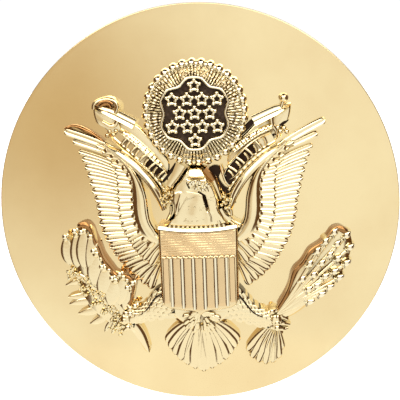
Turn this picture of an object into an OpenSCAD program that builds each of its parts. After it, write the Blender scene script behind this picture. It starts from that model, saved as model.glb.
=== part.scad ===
// Round cap badge: a domed disc carrying a struck eagle emblem, with a threaded post,
// two locating prongs, an anchor plate and a knurled nut behind it.
// Drawn face up (X right, Y towards the top of the badge, Z out of its face), then stood
// upright: the face looks along -Y, the top is +Z, and the post runs back along +Y.
// The origin is on the post's axis, in the plane of the disc's rear rim.

/* [Disc] */
// Diameter of the disc
disc_d = 38.1; // [36:0.1:40]
// Height that the disc bulges from its rim to its middle
dome_rise = 2.0; // [1.5:0.1:3]
// Thickness of the disc at its rim
rim_t = 0.8; // [0.6:0.1:1.2]
// Width of the flat land behind the rim
rim_land = 0.85; // [0.6:0.05:1.2]

/* [Emblem] */
// Relief of the outer row of wing feathers
feather_relief = 0.6; // [0.4:0.05:0.8]
// Relief of the inner row of wing feathers
covert_relief = 0.95; // [0.8:0.05:1.1]
// Relief of the smooth band along the front of each wing
band_relief = 1.35; // [1.2:0.05:1.5]
// Relief of the neck and breast
body_relief = 1.5; // [1.3:0.05:1.7]
// Relief of the shield's field
shield_relief = 1.9; // [1.8:0.05:2.2]
// Relief of the scroll
scroll_relief = 1.2; // [1.0:0.05:1.4]
// Relief of the ring round the stars
ring_relief = 1.5; // [1.3:0.05:1.7]
// Radius of the ring, over its beads
ring_r = 5.1; // [4.9:0.05:5.2]
// Number of beads round the ring
bead_count = 32; // [24:1:36]
// Outer feathers on each wing
feather_count = 23; // [18:1:26]
// Inner feathers on each wing
covert_count = 20; // [16:1:22]
// Feathers in the tail
tail_count = 11; // [9:2:13]

/* [Post and nut] */
// Diameter of the plain shank that the cap's eyelet sits on
shank_d = 4.8; // [4.6:0.1:5]
// Outside diameter of the post's screw thread
thread_d = 4.166; // [4:0.01:4.2]
// Screw threads per inch
threads_per_inch = 32; // [32:1:36]
// Thickness of cap front that the badge clamps
cap_t = 3.0; // [2.5:0.1:3.5]
// How far the post reaches behind the rim
post_reach = 12.0; // [11:0.5:13]
// Diameter of the anchor plate
plate_d = 18.0; // [16:0.5:19]
// Diameter of the knurled nut
nut_d = 13.0; // [11:0.5:14]
// Distance between the two locating prongs
prong_pitch = 22.0; // [21:0.5:24]

/* [Hidden] */
$fn = 96;
sphere_fn = 360;
disc_r = disc_d / 2;
dome_r = (disc_r * disc_r + dome_rise * dome_rise) / (2 * dome_rise);
dome_z = rim_t - sqrt(dome_r * dome_r - disc_r * disc_r);
back_r = norm([disc_r - rim_land, dome_z]);
prism_z = dome_r * 0.9;
prism_h = dome_r * 0.2;
ring_centre = [0, 8.9];
bead_r = 0.42;
// Height of the beads' equators over the dome
bead_seat = ring_relief - 0.15 - bead_r;
ray_r = ring_r - 2 * bead_r + 0.1;
field_lobe = 0.28;
field_mid_r = 3.22;
wall_t = 0.2;
star_pitch = 1.4;
star_r = 0.6;
star_rows = [1, 4, 3, 4, 1];
rivet_r = 0.6;
rivet_hole_r = 0.63;
rivet_head_r = 1.15;
rivet_spots = [[0, 8.9], [-6.8, -0.6], [6.8, -0.6]];
flange_r = 3.6;
flange_z = 0.9;
solder_w = 0.9;
prong_r = 0.55;
prong_foot_r = 1.3;
plate_t = 0.8;
plate_bore_r = 2.2;
nut_bore_r = thread_d / 2 + 0.035;
nut_flange_t = 1.5;
nut_t = 3.6;
nut_hub_r = 3.7;
knurl_count = 36;
over = 0.01;

// ---- curves -------------------------------------------------------------------------

// A smooth curve through the points p, at s from 0 to 1 along it.
function pick(p, i) = p[max(0, min(len(p) - 1, i))];
function bend(a, b, c, d, t) =
    0.5 * ((2 * b) + (c - a) * t + (2 * a - 5 * b + 4 * c - d) * t * t + (3 * b - a - 3 * c + d) * t * t * t);
function along(p, s) =
    let (u = s * (len(p) - 1), i = min(floor(u), len(p) - 2))
    bend(pick(p, i - 1), pick(p, i), pick(p, i + 1), pick(p, i + 2), u - i);
function curve(p, n) = [for (k = [0:n]) along(p, k / n)];
function back(p) = [for (k = [len(p) - 1:-1:0]) p[k]];
function mix(a, b, t) = a * (1 - t) + b * t;
function polar(r, a) = r * [cos(a), sin(a)];

// A strip of width w along the points p.
function side(p, s, w) =
    let (d = along(p, min(1, s + 0.02)) - along(p, max(0, s - 0.02)))
    along(p, s) + w / 2 * [-d[1], d[0]] / norm(d);
function strip(p, w, n = 10) =
    concat([for (k = [0:n]) side(p, k / n, w)], [for (k = [n:-1:0]) side(p, k / n, -w)]);

// A pointed leaf from a to b, w across.
leaf_shape = [0, 0.62, 0.95, 1, 0.82, 0.48, 0];
function leaf(a, b, w) =
    let (d = b - a, across = [-d[1], d[0]] / norm(d) * w / 2, n = len(leaf_shape) - 1)
    concat([for (k = [0:n]) a + d * k / n + across * leaf_shape[k]],
        [for (k = [n - 1:-1:1]) a + d * k / n - across * leaf_shape[k]]);

// ---- the wing's four guide curves, from its top to its foot (right wing) --------------

wing_tips = [[12.5, 7.5], [11.55, 6.2], [10.95, 5.2], [10.6, 4.2], [10.3, 3.2], [10.05, 2.2], [9.85, 1.2],
    [9.7, 0.2], [9.5, -0.9], [9.2, -2.0], [8.75, -3.1], [8.2, -4.0], [7.55, -5.0], [6.75, -6.1], [5.8, -7.0],
    [4.7, -7.7]];
covert_tips = [[9.4, 6.2], [8.3, 4.6], [7.95, 3.3], [7.85, 2.2], [7.75, 1.1], [7.75, 0], [7.65, -1.1],
    [7.35, -2.1], [6.85, -3.1], [6.2, -4.0], [5.4, -4.8], [4.4, -5.5]];
band_outer = [[8.8, 5.9], [7.0, 4.1], [6.1, 2.9], [5.85, 1.8], [5.85, 0.7], [5.85, -0.4], [5.7, -1.4],
    [5.3, -2.4], [4.7, -3.3], [3.9, -4.0]];
band_inner = [[8.4, 6.1], [7.0, 4.9], [6.1, 3.9], [5.35, 2.7], [4.95, 1.4], [4.9, 0.1], [4.85, -0.9],
    [4.4, -1.8], [3.5, -2.6]];
// The upper arm, from the shoulder to the bend of the wing.
upper_arm = [[3.0, -0.2], [3.5, 1.2], [4.4, 2.5], [5.5, 3.7], [6.9, 4.85], [8.5, 6.0]];

// A row of feather tips on the curve tips, notched towards the curve roots.
function serrated(tips, roots, n, depth) =
    [for (k = [0:2 * n]) mix(along(tips, k / (2 * n)), along(roots, k / (2 * n)), k % 2 == 0 ? 0 : depth)];

// ---- flat outlines ------------------------------------------------------------------

shield_point = [[3.55, -9.0], [3.4, -9.8], [2.4, -10.2], [0.9, -10.4], [0, -10.8]];
function mirrored(p) = [for (q = p) [-q[0], q[1]]];
module shield_outline() polygon(concat(
    [[-3.8, -2.1], [0, -2.35], [3.8, -2.1], [3.7, -5.6]],
    curve(shield_point, 8), mirrored(back(curve(shield_point, 8))), [[-3.7, -5.6]]));

module ring_outline() translate(ring_centre) circle(ring_r);

head_profile = [[2.45, 0.2], [2.3, 1.2], [1.8, 2.35], [1.0, 3.15], [0, 3.4], [-0.95, 3.2], [-1.7, 2.75],
    [-2.4, 2.3], [-2.85, 1.6], [-2.65, 0.9], [-2.3, 1.4], [-1.75, 1.65], [-1.5, 1.0], [-1.9, 0.2]];
module head_outline() polygon(curve(head_profile, 40));

// Each scroll's outline: under its long band, up its fold, round its curl, and back along its return.
scroll_right_under = [[2.7, 2.5], [3.6, 3.2], [4.7, 4.2], [5.9, 5.0], [7.2, 5.6]];
scroll_right_fold = [[7.2, 5.6], [7.8, 6.1], [8.2, 6.9], [8.9, 7.6], [9.1, 8.9]];
scroll_right_curl = [[9.1, 8.9], [8.75, 9.4], [8.7, 9.9], [8.3, 10.1], [7.9, 9.8], [8.0, 9.2]];
scroll_right_over = [[8.0, 9.2], [7.0, 8.6], [5.8, 8.0], [4.4, 7.3]];
scroll_left_under = [[-2.9, 1.9], [-3.8, 2.5], [-4.9, 3.4], [-6.0, 4.3], [-7.2, 5.3]];
scroll_left_fold = [[-7.2, 5.3], [-8.0, 6.1], [-8.7, 7.2], [-9.1, 8.2], [-9.35, 9.3]];
scroll_left_curl = [[-9.35, 9.3], [-9.1, 10.0], [-8.1, 10.3], [-7.2, 10.15], [-6.85, 9.5], [-7.0, 8.95]];
scroll_left_over = [[-7.0, 8.95], [-5.9, 8.15], [-5.2, 7.6], [-4.2, 7.0]];
module scroll_right_outline() polygon(concat([[1.2, 1.6]],
    curve(scroll_right_under, 10), curve(scroll_right_fold, 8), curve(scroll_right_curl, 15),
    curve(scroll_right_over, 6), [[3.3, 6.4], [2.1, 4.6], [1.2, 2.9]]));
module scroll_left_outline() polygon(concat([[-1.4, 1.8]],
    curve(scroll_left_under, 10), curve(scroll_left_fold, 8), curve(scroll_left_curl, 15),
    curve(scroll_left_over, 6), [[-3.3, 6.0], [-2.3, 4.4], [-1.4, 2.6]]));

shoulder = [[2.4, 0.3], [3.0, -0.2], [3.4, -1.1], [3.9, -1.9], [4.5, -2.5]];
module body_outline() polygon(concat(
    curve(shoulder, 8), [[3.7, -3.6], [-3.7, -3.6]], mirrored(back(curve(shoulder, 8)))));

leg_edge = [[3.1, -7.7], [4.3, -8.3], [5.1, -9.5], [5.9, -10.3], [6.9, -10.4]];
leg_under = [[7.5, -12.3], [6.3, -12.2], [4.8, -11.7], [3.3, -11.1], [2.2, -9.4]];
module leg_outline() {
    polygon(concat(curve(leg_edge, 10), [[7.7, -10.8], [8.3, -11.4]], curve(leg_under, 8)));
    translate([7.3, -11.35]) circle(1.05);
}
module both_legs() {
    leg_outline();
    mirror([1, 0]) leg_outline();
}

tail_centre = [0, -10.4];
tail_r = 5.95;
tail_spread = 51;
module tail_outline() polygon(concat([[-1.4, -9.9]],
    [for (k = [0:2 * tail_count]) let (a = tail_spread * (k / tail_count - 1))
        tail_centre + polar((tail_r - 0.025 * abs(a)) * (k % 2 == 0 ? 0.93 : 1), a - 90)],
    [[1.4, -9.9]]));

stem_path = [[-5.2, -14.4], [-5.9, -13.1], [-6.9, -11.6], [-8.5, -9.6], [-9.8, -7.1], [-10.8, -4.7], [-11.2, -3.1]];
// Each leaf: its foot, its tip and its width.
leaves = [
    [[-10.9, -4.5], [-11.6, -1.8], 1.5], [[-11.5, -5.1], [-12.9, -2.7], 1.5], [[-10.5, -4.9], [-10.3, -2.2], 1.2],
    [[-9.9, -6.9], [-9.5, -3.8], 1.5], [[-11.0, -6.6], [-13.3, -5.3], 1.2], [[-10.6, -7.5], [-13.3, -6.8], 1.2],
    [[-9.2, -8.4], [-8.6, -5.6], 1.5], [[-10.3, -8.6], [-13.0, -8.2], 1.1], [[-9.9, -9.6], [-12.8, -9.6], 1.1],
    [[-8.2, -9.8], [-7.5, -6.9], 1.4], [[-9.4, -10.5], [-12.0, -11.0], 1.1], [[-7.6, -10.4], [-6.4, -7.7], 1.2],
    [[-8.6, -11.2], [-10.8, -12.2], 1.1], [[-7.9, -11.7], [-9.2, -13.0], 1.0]];
module stem_outline() {
    polygon(strip(stem_path, 0.75, 14));
    polygon([[-6.6, -11.5], [-5.1, -12.0], [-4.9, -14.5], [-5.4, -14.5]]);
}

// The bundle of arrows lies along this line, from the claw to its points.
bundle_grip = [7.4, -11.5];
bundle_top = [13.7, -2.7];
arrow_rows = [[-2.3, 0.62], [-1.4, 0.9], [-0.5, 1.0], [0.5, 0.98], [1.4, 0.86], [2.2, 0.7]];
function arrow_tip(row) =
    let (d = bundle_top - bundle_grip, u = d / norm(d))
    bundle_grip + d * row[1] + [u[1], -u[0]] * row[0] * 0.75;
module shafts_outline() {
    for (row = arrow_rows) let (tip = arrow_tip(row))
        polygon(strip([bundle_grip + (tip - bundle_grip) * 0.08, tip - (tip - bundle_grip) * 0.13], 0.86, 2));
}
module arrow_heads_outline() {
    for (row = arrow_rows) let (tip = arrow_tip(row), u = (tip - bundle_grip) / norm(tip - bundle_grip))
        for (step = [0, 2.1]) if (step == 0 || abs(row[0]) > 1)
            polygon(leaf(tip - u * (1.7 + step), tip - u * step, 1.15));
}
module arrow_feathers_outline() {
    for (k = [-2:2]) let (a = 244 + 14 * k)
        polygon(leaf(bundle_grip + polar(0.4, a), bundle_grip + polar(4.0 - 0.15 * abs(k), a), 1.35));
}

module field_outline(grow = 0) polygon(
    [for (a = [0:7.5:352.5]) ring_centre + polar(field_mid_r + grow - field_lobe * cos(6 * a), a)]);
module star_outline() polygon([for (k = [0:9]) polar(k % 2 == 0 ? star_r : star_r * 0.45, 90 + 36 * k)]);

// ---- building blocks ----------------------------------------------------------------

// A ball turned so that its poles are clear of the badge.
module ball(r) rotate([0, 90, 0]) sphere(r, $fn = sphere_fn);

// An outline raised h out of the disc's domed face.
module relief(h, from = 0) translate([0, 0, dome_z]) difference() {
    intersection() {
        translate([0, 0, prism_z]) linear_extrude(prism_h) children();
        ball(dome_r + h);
    }
    ball(dome_r + from);
}

// Whatever is in front of the disc's inner face is left out.
module under_dome() translate([0, 0, dome_z]) intersection() {
    translate([0, 0, -dome_z]) children();
    ball(back_r);
}

// The drawing stood upright, its face towards -Y.
module upright() rotate([90, 0, 0]) children();

// ---- the disc -----------------------------------------------------------------------

module disc() color("gold") upright() difference() {
    translate([0, 0, dome_z]) difference() {
        intersection() {
            translate([0, 0, -dome_z]) cylinder(h = 10, r = disc_r);
            ball(dome_r);
        }
        ball(back_r);
    }
    for (p = rivet_spots) translate([p[0], p[1], -1]) cylinder(h = 6, r = rivet_hole_r, $fn = 32);
}

// ---- the emblem ---------------------------------------------------------------------

module wing_row(h, tips, roots, n, depth) relief(h) difference() {
    polygon(concat(serrated(tips, roots, n, depth), back(curve(band_inner, 24))));
    children();
}
// One wing, with whatever lies over it cut away.
module wing() {
    wing_row(feather_relief, wing_tips, covert_tips, feather_count, 0.3) children();
    wing_row(covert_relief, covert_tips, band_outer, covert_count, 0.25) children();
    relief(band_relief) difference() {
        polygon(concat(curve(band_outer, 24), back(curve(band_inner, 24))));
        children();
    }
    relief(band_relief) difference() {
        polygon(strip(upper_arm, 0.9, 12));
        children();
    }
}
module around_wing() {
    shield_outline();
    body_outline();
    leg_outline();
}
module wing_right() color("goldenrod") upright() wing() {
    around_wing();
    scroll_right_outline();
}
module wing_left() color("goldenrod") upright() mirror([1, 0, 0]) wing() {
    around_wing();
    mirror([1, 0]) scroll_left_outline();
}

module eagle_body() color("goldenrod") upright() relief(body_relief) difference() {
    body_outline();
    shield_outline();
    head_outline();
}
module eagle_head() color("gold") upright() relief(body_relief + 0.5) head_outline();

module tail_fan() color("goldenrod") upright() relief(covert_relief) difference() {
    tail_outline();
    shield_outline();
    both_legs();
}

module leg() relief(body_relief - 0.1) difference() {
    leg_outline();
    shield_outline();
}
module leg_right() color("goldenrod") upright() leg();
module leg_left() color("goldenrod") upright() mirror([1, 0, 0]) leg();

chief_foot = -4.95;
module shield_plate() color("gold") upright() relief(shield_relief) shield_outline();
module shield_chief() color("goldenrod") upright() relief(shield_relief + 0.15, shield_relief) intersection() {
    shield_outline();
    polygon([[-3.5, -2.55], [3.5, -2.55], [3.45, chief_foot], [-3.45, chief_foot]]);
}
module shield_pales() color("goldenrod") upright() relief(shield_relief + 0.15, shield_relief) intersection() {
    shield_outline();
    for (k = [-3:3]) translate([k * 1.02 - 0.26, -10.2]) square([0.52, 4.95]);
}

module scroll_right() color("gold") upright() relief(scroll_relief) difference() {
    scroll_right_outline();
    ring_outline();
    head_outline();
}
module scroll_left() color("gold") upright() relief(scroll_relief) difference() {
    scroll_left_outline();
    ring_outline();
    head_outline();
}

module ring_rays() color("gold") upright() relief(ring_relief) difference() {
    translate(ring_centre) circle(ray_r);
    field_outline(wall_t);
}
module ring_beads() color("khaki") upright() difference() {
    union() {
        relief(bead_seat) translate(ring_centre) circle(ring_r - 0.1);
        for (k = [0:bead_count - 1]) {
            spot = ring_centre + polar(ring_r - bead_r, 360 * k / bead_count);
            face = dome_z + sqrt(dome_r * dome_r - spot[0] * spot[0] - spot[1] * spot[1]);
            translate([spot[0], spot[1], face + bead_seat]) sphere(r = bead_r, $fn = 32);
        }
    }
    translate([ring_centre[0], ring_centre[1], -1]) cylinder(h = 8, r = ray_r);
}
module star_field() color("saddlebrown") upright() relief(ring_relief - 0.9) field_outline();
module field_border() color("gold") upright() relief(ring_relief + 0.15) difference() {
    field_outline(wall_t);
    field_outline();
}
module stars() color("gold") upright() relief(ring_relief, ring_relief - 0.9)
    for (row = [0:len(star_rows) - 1]) for (k = [0:star_rows[row] - 1])
        translate(ring_centre + [(k - (star_rows[row] - 1) / 2) * star_pitch, (2 - row) * star_pitch * sqrt(3) / 2])
            star_outline();

module olive_stem() color("goldenrod") upright() relief(covert_relief) difference() {
    stem_outline();
    mirror([1, 0]) leg_outline();
    leaves_outline();
}
module leaves_outline() for (l = leaves) polygon(leaf(l[0], l[1], l[2]));
module olive_leaves() color("gold") upright() relief(band_relief) difference() {
    leaves_outline();
    mirror([1, 0]) leg_outline();
}
module arrow_shafts() color("goldenrod") upright() relief(band_relief - 0.15) difference() {
    shafts_outline();
    leg_outline();
    arrow_heads_outline();
}
module arrow_heads() color("gold") upright() relief(band_relief + 0.1) difference() {
    arrow_heads_outline();
    leg_outline();
}
module arrow_feathers() color("gold") upright() relief(covert_relief + 0.1) difference() {
    arrow_feathers_outline();
    leg_outline();
}

// ---- the fixings behind the disc ------------------------------------------------------

module screw_post() color("darkgoldenrod") upright() {
    under_dome() translate([0, 0, flange_z]) cylinder(h = 2, r = flange_r);
    translate([0, 0, -cap_t]) cylinder(h = cap_t + flange_z, d = shank_d);
    translate([0, 0, 0.4 - post_reach]) cylinder(h = post_reach - cap_t - 0.4, d = thread_d);
    translate([0, 0, -post_reach]) cylinder(h = 0.4, d1 = thread_d - 0.8, d2 = thread_d);
}

module post_solder() color("silver") upright() under_dome() difference() {
    translate([0, 0, flange_z + 0.1]) cylinder(h = 1.2, r1 = flange_r + 0.05, r2 = flange_r + solder_w);
    translate([0, 0, flange_z - 1]) cylinder(h = 4, r = flange_r);
}

module emblem_rivets() color("darkgoldenrod") upright() for (p = rivet_spots) {
    translate([0, 0, dome_z]) intersection() {
        translate([p[0], p[1], 0.35 - dome_z]) cylinder(h = 4, r = rivet_r, $fn = 32);
        ball(dome_r);
    }
    under_dome() translate([p[0], p[1], 0.7]) cylinder(h = 3, r = rivet_head_r, $fn = 32);
}

module locating_prongs() color("darkgoldenrod") upright()
    for (s = [-1, 1]) translate([s * prong_pitch / 2, 0, 0]) {
    translate([0, 0, 0.2 - cap_t]) cylinder(h = cap_t + 0.6, r = prong_r, $fn = 32);
    translate([0, 0, -0.4 - cap_t]) cylinder(h = 0.6, r1 = 0.1, r2 = prong_r, $fn = 32);
    translate([-s * prong_pitch / 2, 0, 0]) under_dome()
        translate([s * prong_pitch / 2, 0, 0.2]) cylinder(h = 1.6, r1 = prong_r, r2 = prong_foot_r, $fn = 32);
}

module anchor_plate() color("khaki") upright() translate([0, 0, -cap_t - plate_t]) {
    difference() {
        cylinder(h = plate_t, d = plate_d);
        translate([0, 0, -over]) cylinder(h = plate_t + 2 * over, r = plate_bore_r);
    }
    for (a = [90, 210, 330]) rotate(a) translate([plate_d / 2 - 1.4, 0, plate_t - 0.1])
        cylinder(h = 0.9, r1 = 0.55, r2 = 0.12, $fn = 24);
}

module thumb_nut() color("darkgoldenrod") upright() translate([0, 0, -cap_t - plate_t - nut_t]) difference() {
    union() {
        translate([0, 0, nut_t - nut_flange_t]) cylinder(h = nut_flange_t, d = nut_d);
        cylinder(h = nut_t, r = nut_hub_r);
    }
    translate([0, 0, -over]) cylinder(h = nut_t + 2 * over, r = nut_bore_r);
    for (k = [0:knurl_count - 1]) rotate(360 * k / knurl_count)
        translate([nut_d / 2 + 0.15, 0, nut_t - nut_flange_t - over])
            cylinder(h = nut_flange_t + 2 * over, r = 0.38, $fn = 16);
}

disc();
wing_left();
wing_right();
eagle_body();
eagle_head();
tail_fan();
leg_left();
leg_right();
shield_plate();
shield_chief();
shield_pales();
scroll_left();
scroll_right();
ring_rays();
ring_beads();
star_field();
field_border();
stars();
olive_stem();
olive_leaves();
arrow_shafts();
arrow_heads();
arrow_feathers();
screw_post();
post_solder();
emblem_rivets();
locating_prongs();
anchor_plate();
thumb_nut();
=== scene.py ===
import math

import bmesh
import bpy
import numpy as np
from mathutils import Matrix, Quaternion, Vector


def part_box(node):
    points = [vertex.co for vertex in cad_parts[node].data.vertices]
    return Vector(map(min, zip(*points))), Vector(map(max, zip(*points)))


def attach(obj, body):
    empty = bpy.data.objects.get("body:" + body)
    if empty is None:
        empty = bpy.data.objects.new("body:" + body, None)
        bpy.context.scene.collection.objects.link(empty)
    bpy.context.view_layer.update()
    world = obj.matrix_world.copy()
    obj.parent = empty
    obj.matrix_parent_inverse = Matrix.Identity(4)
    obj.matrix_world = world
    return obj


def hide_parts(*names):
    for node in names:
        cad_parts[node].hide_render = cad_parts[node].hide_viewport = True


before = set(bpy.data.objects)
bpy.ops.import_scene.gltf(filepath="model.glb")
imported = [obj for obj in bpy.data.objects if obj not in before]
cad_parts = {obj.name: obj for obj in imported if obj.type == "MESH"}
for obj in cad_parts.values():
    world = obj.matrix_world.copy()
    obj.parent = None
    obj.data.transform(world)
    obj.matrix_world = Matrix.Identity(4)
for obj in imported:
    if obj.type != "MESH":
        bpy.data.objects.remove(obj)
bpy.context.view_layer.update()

SEED = 11
SIDE_NAME = {-1: "left", 1: "right"}
rng = np.random.default_rng(SEED)

# ---------------------------------------------------------------- the disc's dome, in mm
DISC_LO, DISC_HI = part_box("disc")
DISC_R = (DISC_HI.x - DISC_LO.x) * 500
DISC_DEPTH = (DISC_HI.y - DISC_LO.y) * 1000
RIM_T = 0.8
RISE = DISC_DEPTH - RIM_T
DOME_R = (DISC_R ** 2 + RISE ** 2) / (2 * RISE)
DOME_C = RIM_T - math.sqrt(DOME_R ** 2 - DISC_R ** 2)
RIM_LAND, RIM_ROUND, FOOT_ROUND = 0.85, 0.07, 0.12
BACK_R = math.hypot(DISC_R - RIM_LAND, DOME_C)
SEAT = -0.12


def dome(x, z):
    """Height of the disc's face over the plane of its rear rim."""
    return DOME_C + np.sqrt(DOME_R ** 2 - x * x - z * z)


def hollow(r):
    """Height of the disc's concave back over the same plane."""
    return DOME_C + math.sqrt(BACK_R ** 2 - r * r)


# ---------------------------------------------------------------- curves
def curve(points, n):
    """n + 1 points on a smooth curve through the given ones."""
    p = np.array(points, float)
    q = np.vstack([2 * p[0] - p[1], p, 2 * p[-1] - p[-2]])
    s = np.linspace(0, len(p) - 1, n + 1)
    i = np.minimum(s.astype(int), len(p) - 2)
    t = (s - i)[:, None]
    a, b, c, d = q[i], q[i + 1], q[i + 2], q[i + 3]
    return 0.5 * (2 * b + (c - a) * t + (2 * a - 5 * b + 4 * c - d) * t ** 2
        + (3 * b - a - 3 * c + d) * t ** 3)


def even(points, n):
    """The same, evenly spaced along the curve."""
    c = curve(points, 40 * (len(points) - 1))
    d = np.r_[0, np.cumsum(np.linalg.norm(np.diff(c, axis=0), axis=1))]
    s = np.linspace(0, d[-1], n + 1)
    return np.column_stack([np.interp(s, d, c[:, k]) for k in range(c.shape[1])])


def left_of(path, closed=False):
    """Unit normals to the left of a flat path."""
    if closed:
        t = np.roll(path, -1, axis=0) - np.roll(path, 1, axis=0)
    else:
        t = np.gradient(path, axis=0)
    t = t / np.maximum(np.linalg.norm(t, axis=1), 1e-9)[:, None]
    return np.column_stack([-t[:, 1], t[:, 0]])


def smooth(a, b, t):
    t = np.clip((t - a) / (b - a), 0, 1)
    return t * t * (3 - 2 * t)


def arch(v):
    """A half round from 0 at v = -1 and 1 to 1 at the middle."""
    return np.sqrt(np.clip(1 - v ** 2, 0, 1))


def along(n, at, values):
    """n values read off a broken line, evenly spaced from 0 to 1."""
    return np.interp(np.linspace(0, 1, n), at, values)


def turn(n):
    """n angles evenly round a full turn."""
    return np.linspace(0, 2 * np.pi, n, endpoint=False)


def turned(r, y, a, x=0.0, z=0.0):
    """A ring of radius r at depth y about the axis through x, z."""
    return np.column_stack([x + r * np.sin(a), np.full(len(a), y), z + r * np.cos(a)])


def compass(degrees):
    """Unit vectors at angles given in degrees."""
    a = np.radians(degrees)
    return np.column_stack([np.cos(a), np.sin(a)])


def polar(r, degrees):
    a = np.radians(degrees)
    return np.array([r * np.cos(a), r * np.sin(a)])


# ---------------------------------------------------------------- meshes
class Mesh:
    """Points and faces, gathered as closed shells. Points are x, z and height over the dome, unless flat
    is set."""

    def __init__(self, flat=False):
        self.points, self.faces, self.count, self.flat = [], [], 0, flat

    def add(self, points, faces):
        self.points.append(np.asarray(points, float))
        self.faces.extend([tuple(int(i) + self.count for i in f) for f in faces])
        self.count += len(points)

    def make(self, name, nodes, material, slot="emblem_gilt", angle=32, body="badge"):
        p = np.vstack(self.points)
        if not self.flat:
            p = np.column_stack([p[:, 0], -(dome(p[:, 0], p[:, 1]) + p[:, 2]), p[:, 1]])
        data = bpy.data.meshes.new(name)
        data.from_pydata((p / 1000).tolist(), [], self.faces)
        b = bmesh.new()
        b.from_mesh(data)
        bmesh.ops.recalc_face_normals(b, faces=b.faces)
        b.to_mesh(data)
        b.free()
        data.polygons.foreach_set("use_smooth", [True] * len(data.polygons))
        data.set_sharp_from_angle(angle=math.radians(angle))
        data.materials.append(material)
        o = bpy.data.objects.new(name, data)
        bpy.context.scene.collection.objects.link(o)
        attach(o, body)
        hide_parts(*nodes)
        return o


def loft(mesh, rings, closed=False):
    """Closed loops of points joined along their first index; open ends are capped."""
    n, m, _ = rings.shape
    i = np.arange(n * m).reshape(n, m)
    j = np.roll(i, -1, axis=1)
    faces = np.stack([i[:-1], j[:-1], j[1:], i[1:]], axis=-1).reshape(-1, 4).tolist()
    if closed:
        faces += np.stack([i[-1], j[-1], j[0], i[0]], axis=-1).reshape(-1, 4).tolist()
    else:
        faces += [i[0][::-1].tolist(), i[-1].tolist()]
    mesh.add(rings.reshape(-1, 3), faces)


def bar(mesh, path, half, top, base=SEAT, nv=12, closed=False):
    """A strip along path, half wide each side, whose top is top(u, v) for u along it and v from -1 to 1
    across."""
    n = len(path)
    v = np.sin(np.linspace(-1, 1, nv + 1) * np.pi / 2)
    u = np.linspace(0, 1, n)[:, None]
    half = np.broadcast_to(np.asarray(half, float), (n,))
    across = left_of(path, closed)
    flat = path[:, None, :] + across[:, None, :] * (half[:, None] * v[None, :])[:, :, None]
    h = np.broadcast_to(top(u, v[None, :]), (n, nv + 1))
    rings = np.dstack([flat, h])
    under = rings[:, [-1, 0], :].copy()
    under[:, :, 2] = base if np.isscalar(base) else np.asarray(base)[:, None]
    loft(mesh, np.concatenate([rings, under], axis=1), closed)


def slab(mesh, x, z, h, base=SEAT):
    """A grid of points x, z, h with walls down to base."""
    n, m = x.shape
    i = np.arange(n * m).reshape(n, m)
    faces = np.stack([i[:-1, :-1], i[:-1, 1:], i[1:, 1:], i[1:, :-1]], axis=-1).reshape(-1, 4).tolist()
    edge = np.concatenate([i[0, :-1], i[:-1, -1], i[-1, :0:-1], i[:0:-1, 0]])
    top = np.column_stack([x.ravel(), z.ravel(), h.ravel()])
    low = top[edge].copy()
    low[:, 2] = base
    k = n * m + np.arange(len(edge))
    faces += np.stack([edge, np.roll(edge, -1), np.roll(k, -1), k], axis=-1).tolist()
    faces.append(k[::-1].tolist())
    mesh.add(np.vstack([top, low]), faces)


def patch(mesh, outline, centre, height, rings, power=1.0):
    """A closed patch from a centre out to an outline, with height(x, z, r) for r from 0 to 1."""
    o = np.asarray(outline, float)
    c = np.asarray(centre, float)
    m = len(o)
    r = np.linspace(0, 1, rings + 1)[1:] ** power
    flat = c + (o - c)[None, :, :] * r[:, None, None]
    h = height(flat[:, :, 0], flat[:, :, 1], np.broadcast_to(r[:, None], (rings, m)))
    top = np.dstack([flat, h]).reshape(-1, 3)
    h0 = float(height(np.array([c[0]]), np.array([c[1]]), np.array([0.0]))[0])
    low = top[-m:].copy()
    low[:, 2] = SEAT
    points = np.vstack([top, low, [[c[0], c[1], h0]]])
    i = np.arange((rings + 1) * m).reshape(rings + 1, m)
    j = np.roll(i, -1, axis=1)
    faces = np.stack([i[:-1], j[:-1], j[1:], i[1:]], axis=-1).reshape(-1, 4).tolist()
    faces += [[len(points) - 1, int(b), int(a)] for a, b in zip(i[0], j[0])]
    faces.append(i[-1].tolist())
    mesh.add(points, faces)


def mound(mesh, outline, steps):
    """A flat-topped body whose sides rise through steps of (inset, height) from its outline."""
    o = np.asarray(outline, float)
    area = np.sum(o[:, 0] * np.roll(o[:, 1], -1) - np.roll(o[:, 0], -1) * o[:, 1])
    inward = left_of(o, closed=True) * (1 if area > 0 else -1)
    rings = [np.column_stack([o, np.full(len(o), SEAT)])]
    for inset, height in steps:
        rings.append(np.column_stack([o + inward * inset, np.full(len(o), height)]))
    loft(mesh, np.stack(rings))


def ball(mesh, x, z, h, r, tall=1.0, n=14):
    """A bead at height h, flattened by tall."""
    t = np.linspace(0, np.pi, n // 2 + 1)[1:-1]
    a = turn(n)
    rings = np.stack([np.column_stack([x + r * np.sin(k) * np.cos(a), z + r * np.sin(k) * np.sin(a),
        np.full(n, h + r * tall * np.cos(k))]) for k in t])
    loft(mesh, rings)


def lathe(mesh, profile, n):
    """A closed loop of (radius, y) points turned about the Y axis."""
    loft(mesh, np.stack([turned(r, y, turn(n)) for r, y in profile]), closed=True)


# ---------------------------------------------------------------- materials
def tree_of(owner):
    """The node tree of a material or world, emptied."""
    owner.use_nodes = True
    owner.node_tree.nodes.clear()
    return owner.node_tree


def add_node(tree, kind, inputs=(), **settings):
    """A node with its settings and inputs. An input given as another node's output is linked."""
    n = tree.nodes.new(kind)
    for key, value in settings.items():
        setattr(n, key, value)
    for key, value in dict(inputs).items():
        if isinstance(value, bpy.types.NodeSocket):
            tree.links.new(value, n.inputs[key])
        else:
            n.inputs[key].default_value = value
    return n


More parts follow.
